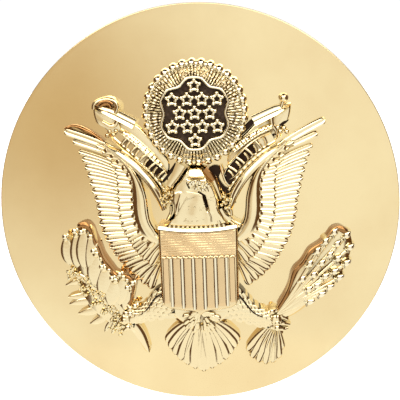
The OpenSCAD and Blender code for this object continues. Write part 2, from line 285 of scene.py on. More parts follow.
def spread(tree, value, low, high, to_low, to_high):
    """value mapped from low .. high to to_low .. to_high."""
    inputs = {"Value": value, "From Min": low, "From Max": high, "To Min": to_low, "To Max": to_high}
    return add_node(tree, "ShaderNodeMapRange", inputs).outputs["Result"]


def noise(tree, place, scale, detail, rough=0.5):
    inputs = {"Vector": place, "Scale": scale, "Detail": detail, "Roughness": rough}
    return add_node(tree, "ShaderNodeTexNoise", inputs).outputs["Fac"]


def blend(tree, factor, a, b):
    """Colour a where factor is 0 and b where it is 1."""
    inputs = {"Factor": factor, "A": a, "B": b}
    return add_node(tree, "ShaderNodeMix", inputs, data_type="RGBA").outputs["Result"]


def bumps(tree, strength, distance, height, **more):
    inputs = {"Strength": strength, "Distance": distance, "Height": height, **more}
    return add_node(tree, "ShaderNodeBump", inputs).outputs["Normal"]


def metal(name, light, dark, rough, rough_spread=0.05, ripple=0.0, grain=0.0, edge=0.35, crease_shade=0.5,
        scale=1.0, hollow_shade=0.0, reach=0.0008, cloudy=0.45):
    """A plated metal: tone and roughness drift, crevices are darkened as painted shade (from pointiness
    and ambient occlusion), edges brighter, and the surface ripples."""
    m = bpy.data.materials.new(name)
    t = tree_of(m)
    place = add_node(t, "ShaderNodeTexCoord").outputs["Object"]
    tone = add_node(t, "ShaderNodeValToRGB", {"Fac": noise(t, place, 260 * scale, 5, 0.55)})
    low, high = tone.color_ramp.elements
    low.position, high.position = 0.30, 0.62
    low.color = (*[a * (1 - cloudy) + b * cloudy for a, b in zip(light, dark)], 1)
    high.color = (*light, 1)

    point = add_node(t, "ShaderNodeNewGeometry").outputs["Pointiness"]
    # painted shade: darker towards the dark colour where pointiness marks a crease
    shade_mask = spread(t, point, 0.40, 0.50, crease_shade, 0.0)
    if hollow_shade:
        # painted shade: ambient occlusion darkens hollows towards the dark colour
        near = add_node(t, "ShaderNodeAmbientOcclusion", {"Distance": reach}, samples=8)
        occlusion_shade = spread(t, near.outputs["AO"], 0.22, 0.66, hollow_shade, 0.0)
        shade_mask = add_node(t, "ShaderNodeMath", {0: shade_mask, 1: occlusion_shade}, operation="MAXIMUM").outputs["Value"]
    colour = blend(t, shade_mask, tone.outputs["Color"], (*dark, 1))
    worn = (*[min(1.0, a * 1.12 + 0.03) for a in light], 1)
    colour = blend(t, spread(t, point, 0.52, 0.62, 0.0, edge), colour, worn)

    smear = noise(t, place, 700 * scale, 8, 0.65)
    wave = bumps(t, ripple, 0.0002, noise(t, place, 420 * scale, 2))
    fine = bumps(t, grain, 0.00002, noise(t, place, 5200 * scale, 3), Normal=wave)
    roughness = spread(t, smear, 0.35, 0.70, rough, rough + rough_spread)
    inputs = {"Metallic": 1.0, "Base Color": colour, "Roughness": roughness, "Normal": fine}
    shade = add_node(t, "ShaderNodeBsdfPrincipled", inputs)
    add_node(t, "ShaderNodeOutputMaterial", {"Surface": shade.outputs["BSDF"]})
    return m


GOLD = (0.92, 0.74, 0.42)
# The dark brown of the painted shade in the relief's crevices, also mixed lightly into its cloudy tone.
SHADE_UMBER = (0.11, 0.056, 0.022)
disc_gold = metal("disc_gold", GOLD, (0.74, 0.52, 0.25), 0.055, 0.05, ripple=0.06, grain=0.08, edge=0.2,
    crease_shade=0.1, scale=0.45, cloudy=0.30)
relief_gold = metal("relief_gold", (0.93, 0.77, 0.47), SHADE_UMBER, 0.07, 0.06, ripple=0.12, grain=0.2, edge=0.5,
    crease_shade=0.15, hollow_shade=0.95, reach=0.0005, cloudy=0.05)
satin_gold = metal("satin_gold", (0.91, 0.72, 0.41), SHADE_UMBER, 0.15, 0.09, ripple=0.12, grain=0.4, edge=0.4,
    crease_shade=0.10, hollow_shade=0.85, reach=0.00035, cloudy=0.10)
# A lighter, paler copy of the gold: painted highlight for ridges, beads, buds, points, stars and the ring.
highlight_gold = metal("highlight_gold", (0.95, 0.84, 0.60), (0.09, 0.05, 0.025), 0.06, 0.05, ripple=0.12,
    grain=0.2, edge=0.5, crease_shade=0.15, hollow_shade=0.85, reach=0.0004, cloudy=0.05)
# A darker, browner copy of the gold: painted shade for steep walls and edges that sit in shadow.
shaded_gold = metal("shaded_gold", (0.40, 0.20, 0.07), SHADE_UMBER, 0.10, 0.08, ripple=0.2, grain=0.3, edge=0.4,
    crease_shade=0.2, hollow_shade=0.8, cloudy=0.3)
brushed_gold = metal("brushed_gold", (0.84, 0.61, 0.33), SHADE_UMBER, 0.16, 0.10, ripple=0.12, grain=0.5,
    edge=0.4, crease_shade=0.1, hollow_shade=0.8, reach=0.0003, cloudy=0.12)
field_bronze = metal("field_bronze", (0.075, 0.050, 0.035), (0.02, 0.012, 0.008), 0.30, 0.15, ripple=0.2,
    grain=0.6, edge=0.2, crease_shade=0.6, hollow_shade=0.6)
post_brass = metal("post_brass", (0.80, 0.60, 0.30), (0.28, 0.15, 0.05), 0.24, 0.14, ripple=0.2, grain=0.5,
    edge=0.6, crease_shade=0.5, hollow_shade=0.8)
# Near-black metal: painted shadow, laid as strips and sheets where the relief is in shade.
recess_shadow = metal("recess_shadow", (0.035, 0.019, 0.011), (0.012, 0.007, 0.004), 0.22, 0.12, ripple=0.3,
    grain=0.5, edge=0.3, crease_shade=0.4, hollow_shade=0.5)
plate_brass = metal("plate_brass", (0.84, 0.66, 0.36), (0.33, 0.19, 0.07), 0.20, 0.16, ripple=0.3,
    grain=0.5, edge=0.5, crease_shade=0.4, hollow_shade=0.6)
nut_brass = metal("nut_brass", (0.82, 0.63, 0.32), (0.26, 0.14, 0.05), 0.20, 0.12, ripple=0.2, grain=0.4,
    edge=0.7, crease_shade=0.5, hollow_shade=0.8)
solder_grey = metal("solder_grey", (0.62, 0.61, 0.58), (0.22, 0.20, 0.17), 0.34, 0.2, ripple=0.9, grain=0.6,
    edge=0.3, crease_shade=0.6)
back_brass = metal("back_brass", (0.80, 0.61, 0.33), (0.34, 0.19, 0.07), 0.26, 0.16, ripple=0.35, grain=0.6,
    edge=0.3, crease_shade=0.4)


# ---------------------------------------------------------------- disc
def build_disc():
    m = Mesh(flat=True)
    front = [(r, -float(dome(r, 0.0))) for r in np.linspace(0.3, DISC_R - RIM_ROUND, 56)]
    edge = float(dome(DISC_R - RIM_ROUND, 0.0))
    rim_r, foot_r = DISC_R - RIM_ROUND, DISC_R - FOOT_ROUND
    rim = [(rim_r + RIM_ROUND * math.sin(a), -(edge - RIM_ROUND + RIM_ROUND * math.cos(a)))
        for a in np.linspace(0.25, math.pi / 2, 6)]
    foot = [(foot_r + FOOT_ROUND * math.cos(a), -(FOOT_ROUND - FOOT_ROUND * math.sin(a)))
        for a in np.linspace(0, math.pi / 2, 5)]
    land = [(DISC_R - RIM_LAND + 0.02, 0.0)]
    back = [(r, -hollow(r)) for r in np.linspace(DISC_R - RIM_LAND - 0.03, 0.3, 40)]
    n = 256
    profile = front + rim + foot + land + back
    a = turn(n)
    rings = np.stack([turned(r, y, a) for r, y in profile])
    loft(m, rings)
    o = m.make("disc_face", ["disc"], disc_gold, angle=30, slot="disc_gilt")
    o.data.materials.append(back_brass)
    first_back = len(front) + len(rim) + len(foot)
    for k, p in enumerate(o.data.polygons):
        if first_back * n <= k < (len(profile) - 1) * n or k == len(o.data.polygons) - 1:
            p.material_index = 1


build_disc()


# ---------------------------------------------------------------- feathers and leaves
def feather(mesh, root, tip, half, h0, h1, crown=0.2, nu=24, nv=16, bend=0.0, tilt=0.0, barb=0.0,
        plain=False, taper=0.75, drop=0.2):
    """A feather from root to tip with a rounded end: split by a shaft and barbed, or a plain small one."""
    root, tip = np.array(root, float), np.array(tip, float)
    d = tip - root
    length = np.linalg.norm(d)
    side = np.array([-d[1], d[0]]) / length
    u = 1 - (1 - np.linspace(0, 1, nu + 1)) ** 1.35
    path = root + u[:, None] * d + side * (bend * np.sin(np.pi * u))[:, None]
    end = min(0.45, 1.1 * half / length)
    w = half * (taper + (1 - taper) * np.sin(np.pi * np.clip(u * 0.75, 0, 1)))
    w = w * np.sqrt(np.clip(1 - (np.clip(u - 1 + end, 0, end) / end) ** 2, 0.02, 1))
    phase = rng.uniform(0, 1)

    def top(_, v):
        uu = u[:, None]
        edge = np.exp(-((np.abs(v) - 0.62) / 0.22) ** 2)
        shape = 0.45 * (1 - np.abs(v) ** 4) + 0.55 * (1 - v ** 2 if plain else edge)
        h = h0 + (h1 - h0) * uu + tilt * v + crown * shape
        h = h - barb * (0.5 + 0.5 * np.sin(2 * np.pi * (uu * length / 0.26 - 1.3 * np.abs(v) + phase))) * (1
            - v ** 2)
        return h - drop * np.clip((uu - 1 + end) / end, 0, 1) ** 2

    bar(mesh, path, w, top, nv=nv)


def leaf(mesh, root, tip, half, h, crown=0.25, bend=0.0, nu=18, nv=12, veins=0.03):
    """A pointed leaf with a midrib and side veins."""
    root, tip = np.array(root, float), np.array(tip, float)
    d = tip - root
    length = np.linalg.norm(d)
    side = np.array([-d[1], d[0]]) / length
    u = np.linspace(0, 1, nu + 1)
    path = root + u[:, None] * d + side * (bend * np.sin(np.pi * u))[:, None]
    w = half * np.clip(np.sin(np.pi * u ** 0.85) ** 0.75, 0.06, 1)

    def top(_, v):
        uu = u[:, None]
        body = crown * (1 - np.abs(v) ** 4) * np.sin(np.pi * np.clip(uu, 0.03, 0.97)) ** 0.5
        rib = 0.010 * np.exp(-(v / 0.16) ** 2)
        vein = veins * np.sin(2 * np.pi * (uu * length / 0.38 - 0.9 * np.abs(v))) * (1 - np.abs(v))
        return h + body + rib + vein

    bar(mesh, path, w, top, nv=nv)


# ---------------------------------------------------------------- wings
LONG_TIPS = [(12.35, 7.55), (11.6, 6.55), (11.1, 5.5)]
WING_TIPS = [(10.75, 4.75), (10.3, 3.3), (9.95, 1.9), (9.55, 0.2), (9.35, -1.3), (8.9, -2.8), (8.2, -4.2),
    (7.2, -5.75), (6.1, -6.9), (4.75, -7.85)]
COVERT_TIPS = [(9.3, 6.0), (8.35, 4.8), (7.7, 3.55), (7.55, 2.4), (7.5, 1.3), (7.5, 0.2), (7.4, -0.9),
    (7.2, -1.85), (6.85, -2.75), (6.3, -3.7), (5.6, -4.6), (4.6, -5.5)]
BAND_OUTER = [(8.8, 5.9), (7.0, 4.2), (6.1, 2.9), (5.85, 1.8), (5.85, 0.7), (5.85, -0.4), (5.7, -1.4),
    (5.3, -2.4), (4.7, -3.3), (3.9, -4.0)]
BAND_INNER = [(8.4, 6.1), (7.0, 4.9), (6.1, 3.85), (5.35, 2.6), (4.95, 1.3), (4.9, 0.1), (4.8, -0.9),
    (4.35, -1.8), (3.6, -2.5)]
UPPER_ARM = [(3.1, -0.2), (3.6, 1.2), (4.4, 2.5), (5.5, 3.7), (6.9, 4.85), (8.3, 5.8)]


def wing(side):
    m = Mesh()
    size = 1.015 if side < 0 else 0.99

    def at(p):
        p = np.array(p, float) * size
        if side < 0:
            p[..., 1] -= 0.08 * np.clip(p[..., 0] - 8.0, 0, 9)
        else:
            p[..., 1] += 0.36 * np.clip(p[..., 0] - 11.2, 0, 9)
        return p * np.array([side, 1.0])

    def row(tips, angles, lengths, cover, h0, h1, crown):
        n = len(tips)
        f = np.linspace(0, 1, n)
        angle = np.interp(f, np.linspace(0, 1, len(angles)), angles)
        length = np.interp(f, np.linspace(0, 1, len(lengths)), lengths)
        step = np.gradient(tips, axis=0)
        for i in range(n - 1, -1, -1):
            d = polar(1, angle[i])
            gap = abs(step[i, 0] * d[1] - step[i, 1] * d[0])
            feather(m, at(tips[i] - d * length[i]), at(tips[i] + d * 0.05), max(0.26, cover * gap), h0, h1,
                crown=crown, tilt=-0.03 * side, bend=0.08 * side, nu=26, nv=16, drop=0.07, barb=0.012)

    # outer row, then the long feathers at its top
    row(even(WING_TIPS, 18), [21, 14, 9, 4, -4, -16, -34, -68], [3.4, 3.1, 2.7, 2.6, 2.5, 2.8], 0.53, 0.74,
        0.36, 0.115)
    for k in (2, 1, 0):
        d = polar(1, 24 - k)
        tip = np.array(LONG_TIPS[k])
        feather(m, at(tip - d * (5.0 - 0.5 * k)), at(tip), (0.38, 0.31, 0.28)[k], 0.80,
            (0.72, 0.52, 0.36)[k], crown=0.10, tilt=-0.03 * side, bend=0.08 * side, nu=32, nv=20, drop=0.05,
            barb=0.006)
    # inner row
    row(even(COVERT_TIPS, 17), [29, 22, 9, 0, -13, -33, -56], [2.6, 2.4, 2.4, 2.2], 0.52, 1.02, 0.92, 0.11)
    # small scales where the inner row meets the arm
    roots = even(BAND_OUTER, 15)
    for i in range(1, 15):
        d = polar(1, np.interp(i / 15, [0, .3, .6, 1], [25, 5, -12, -50]))
        feather(m, at(roots[i] - d * 0.5), at(roots[i] + d * 0.42), 0.30, 1.20, 1.12, crown=0.13, nu=10,
            nv=10, plain=True, drop=0.12)
    # the arm's band
    outer, inner = even(BAND_OUTER, 60), even(BAND_INNER, 60)
    path = at((outer + inner) / 2 - 0.05 * (outer - inner))
    half = np.linalg.norm(outer - inner, axis=1) / 2 * 0.92
    half[-8:] *= np.linspace(1, 0.6, 8)

    def band(u, v):
        s = v * side
        rim = 0.10 * np.exp(-((s + 0.80) / 0.16) ** 2)
        return 1.22 + 0.24 * (1 - np.abs(v) ** 2.5) + rim - 0.05 * np.exp(-((s + 0.5) / 0.12) ** 2)

    bar(m, path, half, band, nv=16)
    # the upper arm
    arm = even(UPPER_ARM, 40)
    bar(m, at(arm), along(41, [0, .2, .8, 1], [0.25, 0.42, 0.40, 0.12]),
        lambda u, v: 1.15 + 0.42 * arch(v) * (1 - 0.2 * u)
        - 0.09 * np.exp(-((v * side - 0.35) / 0.14) ** 2), nv=14)
    name = SIDE_NAME[side]
    if side < 0:
        # The wing's top edge in the shaded gold: painted shade along this wall.
        edge = Mesh()
        bar(edge, even([(-12.5, 7.55), (-11.6, 7.75), (-10.4, 7.3), (-9.3, 6.65), (-8.5, 5.95)], 30),
            along(31, [0, .4, 1], [.08, .20, .12]), lambda u, v: 0.62 + 0.2 * arch(v)
            + 0.05 * np.sin(17 * u), nv=10)
        edge.make("wing_left_edge", ["wing_left"], shaded_gold)
    m.make("wing_" + name + "_feathers", ["wing_" + name], relief_gold)


wing(-1)
wing(1)


# ---------------------------------------------------------------- breast, neck and head
HOOD = [(3.5, -1.9), (2.95, -1.2), (2.65, -0.4), (2.6, 0.6), (2.3, 1.6), (1.9, 2.6), (1.4, 3.35),
    (0.85, 3.8), (-0.6, 3.85), (-1.15, 3.35), (-1.6, 2.7), (-2.15, 2.1), (-2.35, 1.3), (-2.25, 0.3),
    (-2.3, -0.6), (-2.8, -1.3), (-3.5, -1.85), (-3.4, -2.3), (0, -2.5), (3.4, -2.3), (3.5, -1.9)]
NECK_Z = 0.2
HOOD_X, HOOD_Z = 0.1, 0.5


def hood_h(x, z, r):
    """The head and breast as one hood: plain, with a bright crown, a groove right of the face and walls
    that fall to the disc."""
    crown = np.exp(-((x - 0.05) / 0.70) ** 4) * smooth(2.2, 2.9, z)
    lip = np.minimum(0.80 - 0.10 * np.tanh((x - 0.1) / 0.4) * smooth(-1.0, -0.4, z) + 0.24 * crown,
        0.93) - 0.12 * smooth(-0.5, -1.2, z)
    wall = smooth(1.0, lip, r)
    groove = np.interp(z, [-0.2, 1.25, 1.5], [1.04, 0.72, 0.30])
    top = 2.12 - 0.40 * np.clip(z - 3.0, 0, 0.8) * np.exp(-((x - 0.05) / 0.78) ** 6)
    top = top + 0.03 * np.sin(3.1 * x + 1.3 * z) * np.sin(2.3 * z - x)
    top = top - 0.13 * np.clip(x - groove, 0, 2) - 0.05 * np.clip(-0.6 - z, 0, 2)
    top = top - 0.24 * np.exp(-((x - groove) / 0.10) ** 2) * smooth(-0.5, -0.1, z) * smooth(1.75, 1.5, z)
    top = top - 0.26 * np.exp(-((z - 2.86) / 0.10) ** 2) * np.exp(-((x - 0.05) / 0.9) ** 4)
    return 0.5 + (top - 0.5) * wall


def strip(mesh, points, half, h, rise, n=24):
    """A rounded raised line of one height."""
    bar(mesh, even(points, n), half, lambda u, v: h + rise * arch(v), nv=8)


def build_hood(head):
    """The hood's shell: the whole of it for the body, and a skin over its upper part for the head."""
    m = Mesh()
    lift = 0.01 if head else 0.0
    line = even(HOOD, 150)[:-1]
    centre = (HOOD_X, HOOD_Z)
    if head:
        line = np.column_stack([line[:, 0] * 0.985, np.maximum(line[:, 1], NECK_Z)])
        centre = (0.1, 1.2)
    patch(m, line, centre, lambda x, z, r: hood_h(x, z, np.hypot(x - HOOD_X, z - HOOD_Z) / reach_of(x, z))
        + lift, rings=44)
    return m


HOOD_LINE = even(HOOD, 300)
HOOD_ANGLE = np.arctan2(HOOD_LINE[:, 1] - HOOD_Z, HOOD_LINE[:, 0] - HOOD_X)
HOOD_REACH = np.hypot(HOOD_LINE[:, 1] - HOOD_Z, HOOD_LINE[:, 0] - HOOD_X)
HOOD_ORDER = np.argsort(HOOD_ANGLE)


def reach_of(x, z):
    """Distance from the hood's centre to its outline, in the direction of x, z."""
    return np.interp(np.arctan2(z - HOOD_Z, x - HOOD_X), HOOD_ANGLE[HOOD_ORDER], HOOD_REACH[HOOD_ORDER],
        period=2 * np.pi)


def build_body():
    m = build_hood(False)
    for points in (((-2.05, 1.0), (-2.02, 0.2), (-1.98, -0.7)),
            ((-0.9, 1.15), (-1.35, 0.35), (-1.9, -0.65)), ((1.1, -0.3), (1.3, -0.8), (1.35, -1.3))):
        strip(m, points, 0.08, 2.08, 0.09)
    for z, x0, x1 in ((-1.75, -2.6, 2.6), (-1.45, -2.2, 2.3)):
        for x in np.arange(x0, x1, 0.42):
            feather(m, (x, z + 0.22), (x * 1.05, z - 0.22), 0.2, 1.90, 1.88, crown=0.07, nu=8, nv=8,
                plain=True, drop=0.04)
    # the clusters at the shoulders
    for cx, cz, spots in ((-2.85, 1.0, 9), (2.7, 0.3, 7)):
        for k in range(spots):
            a, r = 2.4 * k, 0.21 * math.sqrt(k)
            ball(m, cx + r * math.cos(a) * 0.9, cz + r * math.sin(a) * 1.35, 1.45 + 0.10 * (k % 3),
                0.20 + 0.04 * (k % 2), n=14)
    for points in (((2.55, 0.5), (2.75, -0.2), (3.1, -0.8)), ((2.85, 0.35), (3.15, -0.3), (3.2, -0.9)),
            ((-2.5, 0.1), (-2.55, -0.5), (-2.9, -1.2)), ((3.0, -1.0), (3.5, -1.5), (4.0, -1.75)),
            ((2.9, -1.35), (3.4, -1.75), (3.9, -2.0))):
        strip(m, points, 0.13, 1.15, 0.12)
    bar(m, even([(2.15, -0.2), (2.55, -0.9), (3.1, -1.35)], 16), 0.24,
        lambda u, v: 1.55 - 0.2 * u + 0.05 * (1 - v ** 2), nv=8)
    m.make("neck_and_breast", ["eagle_body"], relief_gold)


def build_head():
    m = build_hood(True)
    # the beak, hooked down to the left
    beak = even([(-2.1, 1.5), (-1.5, 1.65), (-0.85, 1.3), (-1.1, 0.7), (-1.5, 0.1), (-1.9, -0.6),
        (-2.05, 0.1), (-2.2, 0.9), (-2.1, 1.5)], 60)[:-1]
    patch(m, beak, (-1.6, 1.0), lambda x, z, r: 2.13 + 0.08 * (1 - r ** 3)
        + 0.05 * np.exp(-((x + 1.62 - 0.3 * (z - 0.8)) / 0.12) ** 2), rings=12)
    strip(m, ((-1.75, 1.62), (-0.9, 1.55), (0.25, 1.36)), 0.11, 2.11, 0.05)
    strip(m, ((-0.85, 2.6), (-0.95, 2.1), (-0.85, 1.65)), 0.10, 2.02, 0.06)
    # the rough brow and eye
    # The brow's beads are in the lighter gold: painted highlight.
    brow = Mesh()
    for _ in range(26):
        x, z = -0.70 + 1.95 * rng.uniform(0, 1), 1.85 + 0.80 * rng.uniform(0, 1)
        ball(brow, x, z - 0.12 * x, 2.26 + 0.10 * rng.uniform(0, 1), rng.uniform(0.13, 0.24), tall=0.9,
            n=14)
    brow.make("brow", ["eagle_head"], highlight_gold)
    for x in (-0.35, 0.35, 0.95):
        feather(m, (x, 1.95), (x + 0.12, 1.45), 0.17, 2.05, 2.0, crown=0.07, nu=8, nv=8, plain=True,
            drop=0.06)
    for _ in range(30):
        x, z = rng.uniform(-1.3, 2.0), rng.uniform(-1.3, 1.2)
        ball(m, x, z, 2.10 - 0.05 * max(x, 0), rng.uniform(0.05, 0.10), tall=0.7, n=10)
    # The head's right flank in the shaded gold: painted shade on this wall.
    flank = Mesh()
    bar(flank, even([(0.80, 3.62), (1.22, 3.15), (1.60, 2.50)], 20), 0.30,
        lambda u, v: 1.72 - 0.05 * u - 0.10 * v ** 2, nv=8)
    flank.make("head_flank", ["eagle_head"], shaded_gold)
    bar(m, even([(1.62, 2.55), (1.90, 1.90), (2.15, 1.20), (2.3, 0.8)], 20), np.linspace(0.24, 0.14, 21),
        lambda u, v: 1.66 - 0.10 * v ** 2, nv=8)
    # Near-black strips on the face: painted shadow lines.
    lines = Mesh()
    for points, half in ((((-0.85, 2.75), (-0.85, 2.35), (-0.62, 1.9)), 0.10),
            (((0.35, 1.52), (0.68, 1.28), (0.84, 0.7), (0.98, 0.1)), 0.055)):
        strip(lines, points, half, 2.08, 0.06)
    lines.make("face_lines", ["eagle_head"], recess_shadow, slot="dark_field")
    m.make("head_and_beak", ["eagle_head"], relief_gold)


build_body()
build_head()


# ---------------------------------------------------------------- shield
SHIELD_TOP, CHIEF_FOOT = -1.62, -4.68
PALE_PITCH = 1.05
SHIELD_SAG = 0.30


def shield_half(z):
    return 3.78 - 0.018 * (SHIELD_TOP - z)


def shield_foot(x):
    return np.interp(np.abs(x) / 3.65, [0, .06, .15, .45, .8, .92, .98, 1],
        [-10.45, -10.22, -10.05, -9.92, -9.75, -9.5, -9.1, -8.7])


def build_shield():
    m = Mesh()
    s = np.sin(np.linspace(-1, 1, 121) * np.pi / 2 * 0.985) / math.sin(np.pi / 2 * 0.985)
    t = np.linspace(0, 1, 90)
    ss, tt = np.meshgrid(s, t)
    top = SHIELD_TOP - SHIELD_SAG * (1 - ss ** 2)
    foot = shield_foot(ss * 3.65)
    z = top + (foot - top) * tt
    x = ss * shield_half(z)
    edge = np.minimum((1 - np.abs(ss)) * 3.7, z - foot)
    bevel = np.sqrt(np.clip(1 - (1 - np.clip(edge / 0.22, 0, 1)) ** 2, 0, 1))
    crown = 0.18 * (1 - ss ** 2)
    lip = 0.03 * np.exp(-((top - z - 0.30) / 0.14) ** 2) - 0.05 * smooth(0.20, 0.0, top - z)
    slab(m, x, z, 1.50 + 0.26 * bevel + crown + lip)
    # Under the shield's top edge: a ridge in the lighter gold as a painted highlight, and a near-black line
    # below it as painted shadow.
    ridge, under = Mesh(), Mesh()
    s = np.linspace(-1, 1, 80)
    edge = np.column_stack([s * 3.72, SHIELD_TOP - SHIELD_SAG * (1 - s ** 2)])

    def swell(u):
        return 0.18 * (1 - (2 * u - 1) ** 2)

    bar(ridge, edge - [0, 0.20], 0.12, lambda u, v: 1.91 + swell(u) - 0.05 * v, base=1.3, nv=10)
    bar(under, edge - [0, 0.36], 0.05, lambda u, v: 1.89 + swell(u) + 0.02 * (1 - v ** 2), base=1.3, nv=6)
    ridge.make("shield_top_ridge", ["shield_plate"], highlight_gold)
    under.make("shield_top_line", ["shield_plate"], recess_shadow, slot="dark_field")
    m.make("shield_field", ["shield_plate"], satin_gold)

    m = Mesh()
    s = np.linspace(-1, 1, 41)
    z1 = np.linspace(SHIELD_TOP - 0.58, CHIEF_FOOT + 0.16, 84)
    ss, zz = np.meshgrid(s, z1)
    x = ss * 3.5
    zz = zz - (SHIELD_SAG - 0.06) * (1 - ss ** 2) * smooth(CHIEF_FOOT, SHIELD_TOP - 0.45, zz)
    line = 0.014 * np.sin(2 * np.pi * zz / 0.235)
    h = 1.86 + 0.18 * (1 - ss ** 2) + line + 0.012 * np.sin(9 * ss + 3 * zz)
    slab(m, x, zz, h, base=1.4)
    # the small wavy fillet under the band
    c = np.column_stack([np.linspace(-3.5, 3.5, 180), np.full(180, CHIEF_FOOT)])
    c[:, 1] += 0.055 * np.sin(2 * np.pi * c[:, 0] / 0.52)
    bar(m, c, 0.085, lambda u, v: 1.90 + 0.17 * (1 - (2 * u - 1) ** 2) + 0.06 * (1 - v ** 2)
        + 0.03 * np.sin(2 * np.pi * (u * 7) / 0.52), base=1.4, nv=6)
    m.make("shield_band", ["shield_chief"], brushed_gold)

    m = Mesh()
    for k in range(7):
        xc = (k - 3) * PALE_PITCH
        half = 0.385 if abs(k - 3) < 3 else 0.30
        xc = xc if abs(k - 3) < 3 else xc - 0.02 * np.sign(xc)
        foot = max(shield_foot(xc - half * 0.8), shield_foot(xc + half * 0.8)) + 0.28
        path = np.column_stack([np.full(26, xc), np.linspace(CHIEF_FOOT - 0.17, foot, 26)])
        cr = 0.18 * (1 - (xc / 3.7) ** 2)
        bar(m, path, half, lambda u, v, cr=cr: 1.79 + cr + 0.05 * (1 - np.abs(v) ** 6)
            - 0.05 * smooth(0.96, 1, u), base=1.4, nv=12)
    m.make("shield_bars", ["shield_pales"], brushed_gold)

    # The ridges between the bars are in the lighter gold: painted highlight.
    m = Mesh()
    for k in range(6):
        xc = (k - 2.5) * PALE_PITCH
        path = np.column_stack([np.full(26, xc), np.linspace(CHIEF_FOOT - 0.12, shield_foot(xc) + 0.25,
            26)])
        cr = 0.18 * (1 - (xc / 3.7) ** 2)
        bar(m, path, 0.12, lambda u, v, cr=cr: 1.85 + cr + 0.03 * arch(v), base=1.4, nv=8)
    m.make("shield_ridges", ["shield_pales"], highlight_gold)


build_shield()


# ---------------------------------------------------------------- tail
def build_tail():
    m = Mesh()
    centre = np.array([0.0, -10.2])
    mound_line = np.vstack([[(-1.6, -9.9)], [centre + polar(4.6 - 0.02 * abs(a),
        a - 90) for a in np.linspace(-52, 52, 40)], [(1.6, -9.9)]])
    mound(m, mound_line, [(0.05, 0.2), (0.20, 0.45), (0.5, 0.62)])
    order = sorted(range(13), key=lambda i: -abs(i - 6))
    for i in order:
        a = (i - 6) * 8.0
        r = 6.12 - 0.030 * abs(a)
        feather(m, centre + polar(1.0, a * 0.8 - 90), centre + polar(r, a - 90), 0.60,
            1.15 + 0.04 * (i % 2), 0.62 + 0.04 * (i % 2), crown=0.105, bend=0.14 * np.sign(a), taper=0.55,
            nu=34, nv=20, drop=0.08, barb=0.012)
    root = [(-3.1, -9.7), (3.1, -9.7), (3.0, -10.6), (2.3, -11.3), (1.2, -11.8), (-1.2, -11.8),
        (-2.3, -11.3), (-3.0, -10.6), (-3.1, -9.7)]
    mound(m, even(root, 80)[:-1], [(0.15, 0.7), (0.40, 1.1), (0.60, 1.24)])
    for _ in range(46):
        a, r = rng.uniform(-75, 75), rng.uniform(0.3, 2.1)
        c = centre + polar(r, a - 90) + np.array([0, 0.15])
        feather(m, c - polar(0.30, a - 90), c + polar(0.36, a - 90), rng.uniform(0.16, 0.26),
            1.58 - 0.1 * r, 1.52 - 0.1 * r, crown=0.10, nu=10, nv=10, plain=True, drop=0.08)
    m.make("tail_feathers", ["tail_fan"], relief_gold)


build_tail()


# ---------------------------------------------------------------- legs and claws
def claw(mesh, points, r0, r1, h):
    """A curved tapering toe or talon laid over the stem."""
    path = even(points, 16)
    bar(mesh, path, np.linspace(r0, r1, 17), lambda u, v: h - 0.35 * u ** 2
        + r0 * 0.42 * arch(v) * (1 - 0.5 * u) + 0.05 * np.cos(u * 26) * (1 - u), nv=10)


